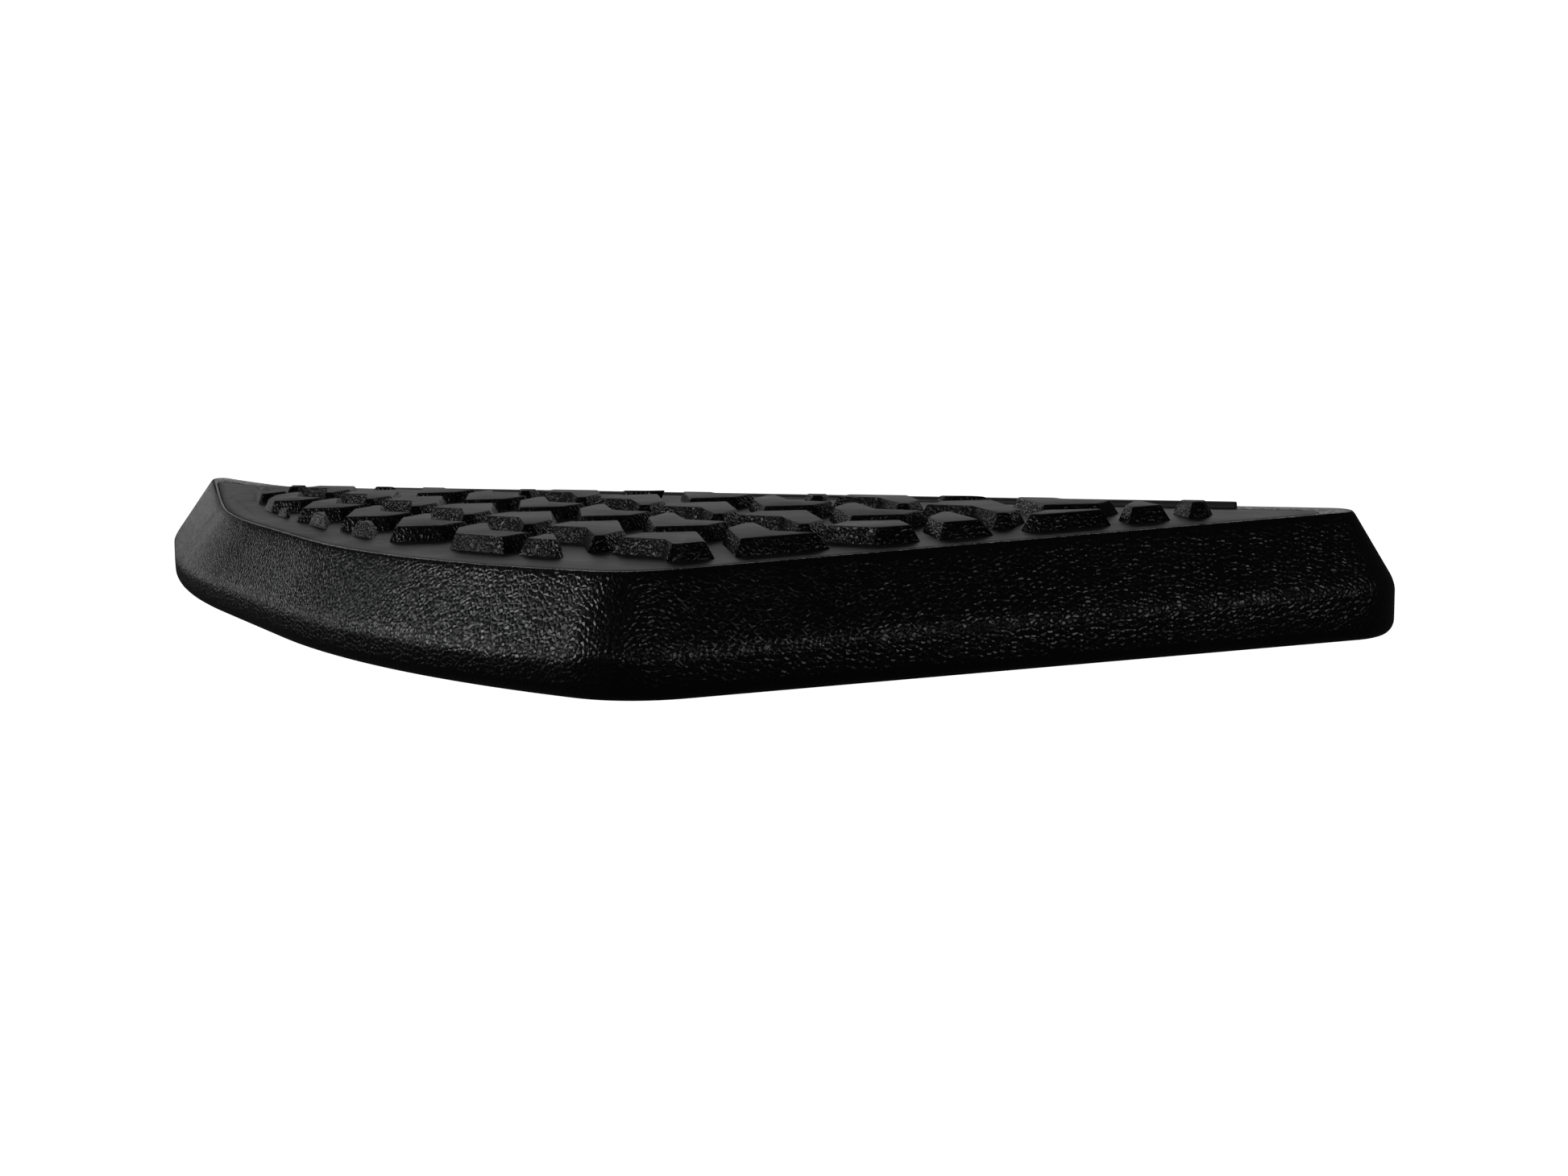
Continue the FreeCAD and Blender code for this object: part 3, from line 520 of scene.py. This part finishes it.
cover_grain = make_grained("cover_grain", GRAIN_DARK, GRAIN_LIGHT, rough=0.22, depth=GRAIN_DEPTH,
                           cell=0.0015, specular=0.5)
# The lug sides take this grained copy of the pad's plastic. It is painted shade, because it is darker and
# less specular than the smooth copy on the lug tops.
tread_grain_painted_shade = make_grained("tread_grain_painted_shade", GRAIN_DARK, GRAIN_LIGHT, rough=0.24, depth=GRAIN_DEPTH,
                           cell=0.0013, specular=0.3)
# The lug tops and the pad's flat base take this smooth copy of the same plastic. It is painted light,
# because its colour is lighter than the grained copy on the lug sides.
tread_smooth_painted_light = make_smooth("tread_smooth_painted_light", (0.014, 0.014, 0.0145), (0.021, 0.021, 0.0215),
                           rough=0.47, depth=0.000018)
rubber = make_smooth("edge_rubber", (0.05, 0.05, 0.05), (0.07, 0.07, 0.07), rough=0.42, depth=0.00002)
inside_plastic = make_smooth("inside_plastic", (0.012, 0.012, 0.012), (0.02, 0.02, 0.02),
                             rough=0.52, depth=0.00003)
plug_plastic = make_smooth("plug_plastic", (0.02, 0.02, 0.02), (0.032, 0.032, 0.032),
                           rough=0.45, depth=0.00002)
coated_steel = make_metal("coated_steel", (0.03, 0.03, 0.031), rough=0.42, metallic=0.0,
                          speck=700.0, depth=0.00004)
zinc = make_metal("zinc_steel", (0.62, 0.63, 0.65), rough=0.34, metallic=1.0,
                  speck=500.0, depth=0.00001, brushed=True)
spring_steel = make_metal("spring_steel", (0.2, 0.2, 0.21), rough=0.4, metallic=1.0,
                          speck=900.0, depth=0.00001)
brass = make_metal("turned_brass", (0.72, 0.52, 0.24), rough=0.3, metallic=1.0,
                   speck=800.0, depth=0.00001)


# ------------------------------------------------------------------ moulded cover
def foot_rings():
    """Rings of the outer skin round the foot, from the rim's underside up to the upright band."""
    rings = [skirt_ring(0.0, FOOT_TUCK + WALL)]
    for k in range(FOOT_STEPS + 1):
        angle = math.pi / 2 * k / FOOT_STEPS
        rings.append(skirt_ring(FOOT_HEIGHT * (1 - math.cos(angle)), FOOT_TUCK * (1 - math.sin(angle))))
    return rings


def skirt_rings():
    """Rings of the outer skin from the rim's underside up to the deck border."""
    rings = foot_rings()
    crease_low = skirt_ring(CREASE_HEIGHT - CREASE_BELOW, 0.0, CREASE_RISES)
    crease_mid = skirt_ring(CREASE_HEIGHT + CREASE_ABOVE, 0.0, CREASE_RISES)
    rings.append(mix_rings(rings[-1], crease_low, 0.5))
    base = skirt_ring(CREASE_TOP, CREASE_IN, CREASE_RISES)
    top = deck_ring(0.0, 0.0)
    crease_high = mix_rings(base, top, CREASE_PART)
    for k in range(CREASE_STEPS + 1):
        part = k / CREASE_STEPS
        rings.append([bezier(a, b, c, part) for a, b, c in zip(crease_low, crease_mid, crease_high)])
    for k in range(1, FACE_STEPS + 1):
        rings.append(mix_rings(base, top, CREASE_PART + (FACE_PART - CREASE_PART) * k / FACE_STEPS))
    return rings


def border_rings():
    """Rounded border of the deck, its flat rim, the wall of the recess and a band of its floor."""
    rings = [deck_ring(*place) for place in BORDER_ROUNDING]
    rings += [deck_ring(z, -RIM_WIDTH + out, None, -STRIP_SHELF + out) for z, out in RECESS_WALL]
    rings.append(deck_ring(-RECESS, -RIM_WIDTH - SEAT_WIDTH, None, -STRIP_SHELF - STRIP_SEAT_WIDTH))
    return rings


def roof_ring(inset=0.0):
    """Border of the underside of the deck."""
    depth = RECESS + DECK_WALL
    return deck_ring(-depth, -WALL + WALL_LEAN * depth - inset, -WALL + TIP_WALL_LEAN * depth - inset)


def cavity_rings():
    """Inside of the skirt, from the rim's underside up to the underside of the deck."""
    low = skirt_ring(CREASE_TOP, WALL + CREASE_IN, CREASE_RISES)
    roof = roof_ring()
    rings = [
        skirt_ring(0.0, WALL + FOOT_TUCK),
        skirt_ring(FOOT_INSIDE, WALL + FOOT_INSIDE),
        skirt_ring(FOOT_HEIGHT, WALL),
        skirt_ring(CREASE_HEIGHT, WALL, CREASE_RISES),
        low,
    ]
    rings += [mix_rings(low, roof, k / CAVITY_STEPS) for k in range(1, CAVITY_STEPS)]
    rings.append(mix_rings(low, roof, CAVITY_PART))
    rings.append(roof_ring(ROOF_ROUNDING))
    return rings


def make_cover():
    bm = bmesh.new()
    add_rings(bm, skirt_rings() + border_rings(), cap_last=True)
    skin_faces = len(bm.faces)
    add_rings(bm, cavity_rings(), cap_last=True)
    bm.faces.ensure_lookup_table()
    for face in bm.faces[skin_faces:]:
        face.normal_flip()
        face.material_index = 1
    bmesh.ops.remove_doubles(bm, verts=bm.verts, dist=MERGE_DISTANCE)
    return new_object("cover_moulding", bm, [cover_grain, inside_plastic])


# ------------------------------------------------------------------ ribs and bosses
def crossing(ring, axis, value):
    """Lowest and highest place where a ring crosses a line of constant x (axis 0) or y (axis 1)."""
    found = []
    for i, point in enumerate(ring):
        last = ring[i - 1]
        if (last[axis] > value) != (point[axis] > value):
            hit = last.lerp(point, (value - last[axis]) / (point[axis] - last[axis]))
            found.append(hit[1 - axis])
    return min(found), max(found)


def rib_spans(axis, value, low, high):
    """Stretches of one rib between the pegs' rooms, and the notches that the frame needs in it."""
    gaps = sorted((peg[1 - axis] - PEG_ROOM, peg[1 - axis] + PEG_ROOM) for peg in PEG_PLACES
                  if abs(peg[axis] - value) < PEG_ROOM + RIB_HALF)
    notches = []
    for room in FRAME_ROOMS:
        near, far = room[2 * axis:2 * axis + 2]
        if near - RIB_HALF < value < far + RIB_HALF:
            notches.append(room[2 - 2 * axis:4 - 2 * axis])
    spans = []
    start = low
    for near, far in gaps + [(high, high)]:
        if min(near, high) > start + RIB_LEAST:
            spans.append((start, min(near, high)))
        start = max(start, far)
    return spans, sorted(notches)


def rib_floor(span, notches):
    """Lower edge of a rib, left to right, as (place, height) with a step at every notch."""
    start, end = span
    notch_top = BEAM_TOP + BEAM_CLEARANCE
    line = [(start, RIB_BOTTOM)]
    for near, far in notches:
        near, far = max(near, start), min(far, end)
        if far <= near:
            continue
        if line[-1][1] > RIB_BOTTOM and near <= line[-1][0]:
            line[-1] = (max(far, line[-1][0]), line[-1][1])
            continue
        if near > start:
            line += [(near, RIB_BOTTOM), (near, notch_top)]
        else:
            line = [(start, notch_top)]
        line.append((far, notch_top))
        if far < end:
            line.append((far, RIB_BOTTOM))
    if line[-1][0] < end:
        line.append((end, line[-1][1]))
    return line


def rib_side(bm, axis, value, profile):
    """Corners of one side of a rib; a profile place without a height reaches into the deck."""
    row = []
    for place, height in profile:
        plan = (value, place) if axis == 0 else (place, value)
        if height is None:
            height = roof_at(*plan) + RIB_OVERLAP
        row.append(bm.verts.new((*plan, height)))
    return row


def add_span(bm, axis, value, floor, ends):
    """One stretch of a rib, with its lower edges rounded."""
    profile = floor + [(ends[1], None), (ends[0], None)]
    near, far = [rib_side(bm, axis, value + offset, profile) for offset in (-RIB_HALF, RIB_HALF)]
    faces = [bm.faces.new(near), bm.faces.new(list(reversed(far)))]
    for i in range(len(profile)):
        k = (i + 1) % len(profile)
        faces.append(bm.faces.new((near[k], near[i], far[i], far[k])))
    bmesh.ops.recalc_face_normals(bm, faces=faces)
    rims = [bm.edges.get((row[i], row[i + 1])) for i in range(len(floor) - 1) for row in (near, far)]
    bmesh.ops.bevel(bm, geom=rims, offset=RIB_ROUNDING, segments=RIB_ROUNDING_SEGMENTS,
                    profile=RIB_ROUNDING_PROFILE, affect="EDGES", clamp_overlap=True)


def add_rib(bm, axis, value, low_ring, top_ring):
    """One rib across the hollow, standing under the deck."""
    low, high = crossing(low_ring, axis, value)
    top_low, top_high = crossing(top_ring, axis, value)
    spans, notches = rib_spans(axis, value, low, high)
    for span in spans:
        floor = rib_floor(span, notches)
        first, last = floor[0][0], floor[-1][0]
        ends = (top_low if first == low else first, top_high if last == high else last)
        add_span(bm, axis, value, floor, ends)


def add_boss(bm, x, y):
    """Screw boss under the deck, with a bore for the thread insert."""
    profile = [(INSERT_RADIUS, BEAM_TOP + BORE_DEPTH), (INSERT_RADIUS, BEAM_TOP + BORE_CHAMFER),
               (INSERT_RADIUS + BORE_CHAMFER, BEAM_TOP),
               (BOSS_RADIUS - BOSS_CHAMFER, BEAM_TOP), (BOSS_RADIUS, BEAM_TOP + BOSS_CHAMFER)]
    profile += [(BOSS_RADIUS + out, roof_at(x, y) + up) for out, up in BOSS_ROOT]
    add_rings(bm, [circle(x, y, radius, z, BOSS_STEPS) for radius, z in profile])


def make_ribs():
    """Ribs and screw bosses under the deck, moulded in one with the cover."""
    bm = bmesh.new()
    low_ring = skirt_ring(CREASE_TOP, WALL + CREASE_IN - RIB_OVERLAP, CREASE_RISES)
    top_ring = roof_ring(-RIB_OVERLAP)
    for column in RIB_COLUMNS:
        add_rib(bm, 0, (column + 0.5) * RIB_PITCH, low_ring, top_ring)
    for y in RIB_ROWS:
        add_rib(bm, 1, y, low_ring, top_ring)
    for x, y in SCREW_PLACES:
        add_boss(bm, x, y)
    return new_object("cover_ribs", bm, [inside_plastic])


# ------------------------------------------------------------------ tread pad
def grown_polygon(points, grow):
    """Anticlockwise polygon after each side has moved out by the same distance."""
    grown = []
    for i, point in enumerate(points):
        into = (point - points[i - 1]).normalized()
        away = (points[(i + 1) % len(points)] - point).normalized()
        turn = math.atan2(into.x * away.y - into.y * away.x, into.dot(away))
        side = Vector((into.y + away.y, -into.x - away.x)).normalized()
        grown.append(point + side * grow * min(1 / math.cos(turn / 2), MITRE_LIMIT))
    return grown


def clip(points, border):
    """Part of a polygon inside a convex anticlockwise border."""
    for i, corner in enumerate(border):
        edge = border[(i + 1) % len(border)] - corner
        if edge.length < SHORTEST_EDGE:
            continue
        inward = Vector((-edge.y, edge.x)).normalized()
        kept = []
        for k, point in enumerate(points):
            last = points[k - 1]
            here, before = (point - corner).dot(inward), (last - corner).dot(inward)
            if (here > 0) != (before > 0):
                kept.append(last.lerp(point, before / (before - here)))
            if here > 0:
                kept.append(point)
        points = kept
        if len(points) < 3:
            return []
    return tidy(points)


def tidy(points):
    """Polygon without repeated points and without points in the middle of straight sides."""
    apart = [p for i, p in enumerate(points) if (p - points[i - 1]).length > SHORTEST_SIDE]
    kept = []
    for i, point in enumerate(apart):
        into = point - apart[i - 1]
        away = apart[(i + 1) % len(apart)] - point
        if abs(into.x * away.y - into.y * away.x) > STRAIGHTEST_TURN * into.length * away.length:
            kept.append(point)
    return kept if len(kept) > 2 else []


def area(points):
    return sum(points[i - 1].x * p.y - points[i - 1].y * p.x for i, p in enumerate(points)) / 2


def lug_border(step):
    """Border that the lugs end at, moved out by a distance."""
    border = outline(-LUG_MARGIN + step, inner=-LUG_INNER_MARGIN + step, front=-LUG_FRONT_MARGIN + step)
    return [p.to_2d() for p in border]


def lug_spots():
    """Places of the repeating pattern that lie on or close to the deck."""
    along = Vector((math.cos(ROW_HEADING), math.sin(ROW_HEADING))) * LUG_PITCH
    across = Vector((math.cos(SHIFT_HEADING), math.sin(SHIFT_HEADING))) * ROW_SHIFT
    spots = [LUG_START + along * column + across * row for row in LUG_ROWS for column in LUG_COLUMNS]
    return [spot for spot in spots if abs(spot.x) <= LUG_REACH[0] and abs(spot.y) <= LUG_REACH[1]]


def lug_sections():
    """For each lug: its plan at the top, and its height."""
    foot_border = lug_border(LUG_DRAFT)
    top_border = lug_border(0.0)
    spin = Matrix.Rotation(ROW_HEADING, 2)
    plain = [Vector(p) for p in LUG_CORNERS]
    turned = [Vector(LUG_TWIN) - p for p in plain]
    sections = []
    for corners in (plain, turned):
        for spot in lug_spots():
            whole = [spot + spin @ p for p in corners]
            foot = clip(grown_polygon(whole, LUG_DRAFT), foot_border)
            top = clip(whole, top_border)
            if len(top) > 2 and area(top) > LEAST_TOP_AREA:
                sections.append((top, LUG_HEIGHT))
            elif len(foot) > 2 and area(foot) > LEAST_FOOT_AREA:
                sections.append(shrunken(foot))
    return sections


def shrunken(foot):
    """Small cut-off lug: its foot drawn in until it is nearly a point, and the height there."""
    last, height = foot, 0.0
    for k in range(1, PYRAMID_STEPS + 1):
        inner = grown_polygon(foot, -LUG_DRAFT * k / PYRAMID_STEPS)
        if area(inner) < PYRAMID_TOP_AREA or area(inner) > area(foot):
            break
        last, height = inner, LUG_HEIGHT * k / PYRAMID_STEPS
    return last, height


def add_lug(bm, top, height):
    """Lug with sloping sides and softly rounded edges."""
    low = grown_polygon(top, LUG_DRAFT * (height + LUG_SINK) / LUG_HEIGHT)
    foot = [bm.verts.new(on_deck(p.x, p.y, -LUG_SINK)) for p in low]
    head = [bm.verts.new(on_deck(p.x, p.y, height)) for p in top]
    count = len(top)
    for i in range(count):
        k = (i + 1) % count
        side = bm.faces.new((foot[i], foot[k], head[k], head[i]))
        # The sides take the second slot, the darker grained copy of the plastic: painted shade.
        side.material_index = 1
    bm.faces.new(head)
    edges = []
    for i in range(count):
        k = (i + 1) % count
        into = (top[i] - top[i - 1]).normalized()
        away = (top[k] - top[i]).normalized()
        edges.append(bm.edges.get((head[i], head[k])))
        if into.angle(away) > SHARP_TURN:
            edges.append(bm.edges.get((foot[i], head[i])))
    bmesh.ops.bevel(bm, geom=edges, offset=LUG_ROUNDING, segments=LUG_ROUNDING_SEGMENTS,
                    profile=LUG_ROUNDING_PROFILE, affect="EDGES", clamp_overlap=True, material=-1)


def add_peg(bm, x, y):
    """Moulded peg under the pad, with a chamfered end."""
    end = -RECESS - PEG_LENGTH
    profile = [(PEG_RADIUS, -RECESS - PEG_ROOT), (PEG_RADIUS, end + PEG_CHAMFER),
               (PEG_RADIUS - PEG_CHAMFER, end), (PEG_END_RADIUS, end)]
    rings = [[DECK @ p for p in circle(x, y, radius, z, PEG_STEPS, -1)] for radius, z in profile]
    add_rings(bm, rings, cap_first=True, cap_last=True)


def make_pad():
    bm = bmesh.new()
    edge = -RIM_WIDTH - PAD_GAP
    shelf = -STRIP_SHELF - PAD_GAP
    rings = [deck_ring(z, edge - inset, None, shelf - inset) for z, inset in PAD_EDGE]
    add_rings(bm, rings, cap_first=True, cap_last=True)
    for top, height in lug_sections():
        add_lug(bm, top, height)
    for x, y in PEG_PLACES:
        add_peg(bm, x, y)
    # The lighter smooth copy on the flat base and lug tops is painted light. The darker grained copy on
    # the lug sides is painted shade.
    return new_object("tread_moulding", bm, [tread_smooth_painted_light, tread_grain_painted_shade], PAD_SMOOTH_ANGLE)


# ------------------------------------------------------------------ edge strip
def strip_stations():
    """Places along the strip and the part of its width there, from one rounded end to the other."""
    half_length, half_width = STRIP_LENGTH / 2, STRIP_WIDTH / 2
    angles = [math.pi / 2 * k / STRIP_END_STEPS for k in range(STRIP_END_STEPS + 1)]
    rounded = [(-half_length + half_width * (1 - math.cos(a)), math.sin(a)) for a in angles]
    straight = [(-half_length + half_width + (STRIP_LENGTH - STRIP_WIDTH) * k / STRIP_STEPS, 1.0)
                for k in range(1, STRIP_STEPS)]
    return rounded + straight + [(-x, part) for x, part in reversed(rounded)]


def strip_height(y, angle):
    """Height of the strip's back, which has a shallow groove along its middle."""
    half_width = STRIP_WIDTH / 2
    wave = max(0.0, math.cos(2 * math.pi * (y / half_width) * STRIP_GROOVE_WAVES))
    in_groove = abs(y) < half_width * STRIP_GROOVE_PART
    dip = STRIP_GROOVE_DEPTH * wave * in_groove
    return (STRIP_HEIGHT - dip) * math.sin(angle) ** STRIP_FULLNESS


def make_strip():
    """Rubber strip with a grooved, rounded back and rounded ends."""
    bm = bmesh.new()
    rows = []
    for x, part in strip_stations():
        row = []
        for k in range(STRIP_ARC_STEPS + 1):
            angle = math.pi * k / STRIP_ARC_STEPS
            y = -(STRIP_WIDTH / 2) * math.cos(angle) * max(part, STRIP_END_PART)
            place = Vector((STRIP_X + x, STRIP_Y + y, strip_height(y, angle)))
            row.append(bm.verts.new(DECK @ place))
        rows.append(row)
    for low, high in zip(rows, rows[1:]):
        for k in range(STRIP_ARC_STEPS):
            bm.faces.new((low[k], high[k], high[k + 1], low[k + 1]))
        bm.faces.new((low[0], low[-1], high[-1], high[0]))
    bm.faces.new(rows[0])
    bm.faces.new(list(reversed(rows[-1])))
    bmesh.ops.recalc_face_normals(bm, faces=bm.faces)
    return new_object("edge_strip_rubber", bm, [rubber])


# ------------------------------------------------------------------ carried-over frame
def dress_nodes():
    """Procedural materials for the carried-over CAD nodes."""
    finishes = {
        "frame_steel": coated_steel, "plug_plastic": plug_plastic, "zinc_steel": zinc,
        "black_rubber": rubber, "spring_steel": spring_steel, "brass": brass,
        "cover_plastic": inside_plastic, "tread_plastic": tread_smooth_painted_light,
    }
    for entry in frame["record"]["subparts"]:
        node = frame["nodes"][entry["node"]]
        for slot in node.material_slots:
            slot.material = finishes[entry["material_slot"]]


# ------------------------------------------------------------------ studio, in metres
FLOOR_RADII = (0.02, 1.0, 2.6)
FLOOR_BEND = 1.4
FLOOR_BEND_STEPS = 20
WALL_TOP = 4.0
BACKDROP_STEPS = 96
PAPER_DARK = (0.86, 0.86, 0.86)
PAPER_LIGHT = (0.88, 0.88, 0.88)
PAPER_GLOW = 1.05
WHITE = (1.0, 1.0, 1.0, 1.0)
WORLD_GLOW = 0.02

# name, azimuth, elevation, distance, size and power of each light
LIGHTS = [
    ("back", 209.0, 17.0, 2.0, (2.1, 0.7), 3.2),
    ("left", -86.0, 46.0, 1.6, (1.2, 0.9), 0.11),
    ("left_low", -84.0, 2.5, 1.5, (2.2, 0.14), 0.6),
    ("crease", -60.0, 17.0, 1.5, (1.0, 0.1), 1.15),
    ("front_left", -43.0, 23.0, 1.3, (0.35, 0.25), 1.9),
    ("right", 38.0, 24.0, 1.3, (0.25, 0.2), 0.6),
    ("right_far", 80.0, 14.0, 1.3, (0.3, 0.15), 0.6),
]
LIGHT_AIM = Vector((0.02, 0.0, 0.02))

CAMERA_PLACE = Vector((383.9, -403.1, 85.0)) * MM
CAMERA_AZIMUTH = 33.4
CAMERA_ELEVATION = 8.16
CAMERA_ROLL = -1.5
CAMERA_LENS = 37.0
CAMERA_SENSOR = 36.0
CAMERA_CLIP = 0.01


def make_paper():
    material, tree, shader, where = new_material("paper")
    add_tint(tree, shader, add_noise(tree, where, 3.0, 2.0), PAPER_DARK, PAPER_LIGHT)
    shader.inputs["Roughness"].default_value = 0.95
    shader.inputs["Specular IOR Level"].default_value = 0.1
    shader.inputs["Emission Color"].default_value = WHITE
    shader.inputs["Emission Strength"].default_value = PAPER_GLOW
    return material


def make_backdrop():
    """Pale round floor that curves up into a wall all round."""
    bm = bmesh.new()
    flat = FLOOR_RADII[-1]
    angles = [math.pi / 2 * k / FLOOR_BEND_STEPS for k in range(1, FLOOR_BEND_STEPS + 1)]
    profile = [(radius, 0.0) for radius in FLOOR_RADII]
    profile += [(flat + FLOOR_BEND * math.sin(a), FLOOR_BEND * (1 - math.cos(a))) for a in angles]
    profile.append((flat + FLOOR_BEND, WALL_TOP))
    add_rings(bm, [circle(0.0, 0.0, radius, z, BACKDROP_STEPS) for radius, z in profile], cap_first=True)
    bmesh.ops.recalc_face_normals(bm, faces=bm.faces)
    mesh = bpy.data.meshes.new("backdrop")
    bm.to_mesh(mesh)
    bm.free()
    mesh.polygons.foreach_set("use_smooth", [True] * len(mesh.polygons))
    mesh.materials.append(make_paper())
    backdrop = bpy.data.objects.new("backdrop", mesh)
    backdrop.visible_glossy = False
    backdrop.visible_diffuse = False
    bpy.context.collection.objects.link(backdrop)


def direction(azimuth, elevation):
    """Direction from the board outwards; azimuth 0 is in front of it, and 90 at its right."""
    a, e = math.radians(azimuth), math.radians(elevation)
    return Vector((math.sin(a) * math.cos(e), -math.cos(a) * math.cos(e), math.sin(e)))


def add_light(name, azimuth, elevation, distance, size, power):
    """Area light placed round the board by angle and turned towards it."""
    back = direction(azimuth, elevation)
    data = bpy.data.lights.new(name, "AREA")
    data.shape = "RECTANGLE"
    data.size, data.size_y = size
    data.energy = power
    lamp = bpy.data.objects.new(name, data)
    lamp.location = LIGHT_AIM + back * distance
    lamp.rotation_mode = "QUATERNION"
    lamp.rotation_quaternion = (-back).to_track_quat("-Z", "Y")
    lamp.visible_camera = False
    bpy.context.collection.objects.link(lamp)


def make_camera():
    data = bpy.data.cameras.new("camera")
    data.lens = CAMERA_LENS
    data.sensor_width = CAMERA_SENSOR
    data.clip_start = CAMERA_CLIP
    camera = bpy.data.objects.new("camera", data)
    camera.location = CAMERA_PLACE
    camera.rotation_mode = "QUATERNION"
    look = (-direction(CAMERA_AZIMUTH, CAMERA_ELEVATION)).to_track_quat("-Z", "Y")
    camera.rotation_quaternion = look @ Matrix.Rotation(math.radians(CAMERA_ROLL), 3, "Z").to_quaternion()
    bpy.context.collection.objects.link(camera)
    bpy.context.scene.camera = camera


def make_world():
    world = bpy.data.worlds.new("studio")
    world.use_nodes = True
    background = world.node_tree.nodes["Background"]
    background.inputs["Color"].default_value = WHITE
    background.inputs["Strength"].default_value = WORLD_GLOW
    bpy.context.scene.world = world


make_camera()
make_world()
make_backdrop()
for light in LIGHTS:
    add_light(*light)

dress_nodes()
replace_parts(make_cover(), "cover")
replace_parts(make_ribs(), "cover")
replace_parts(make_pad(), "tread_pad")
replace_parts(make_strip(), "edge_strip")

bpy.context.scene.view_settings.view_transform = "Standard"
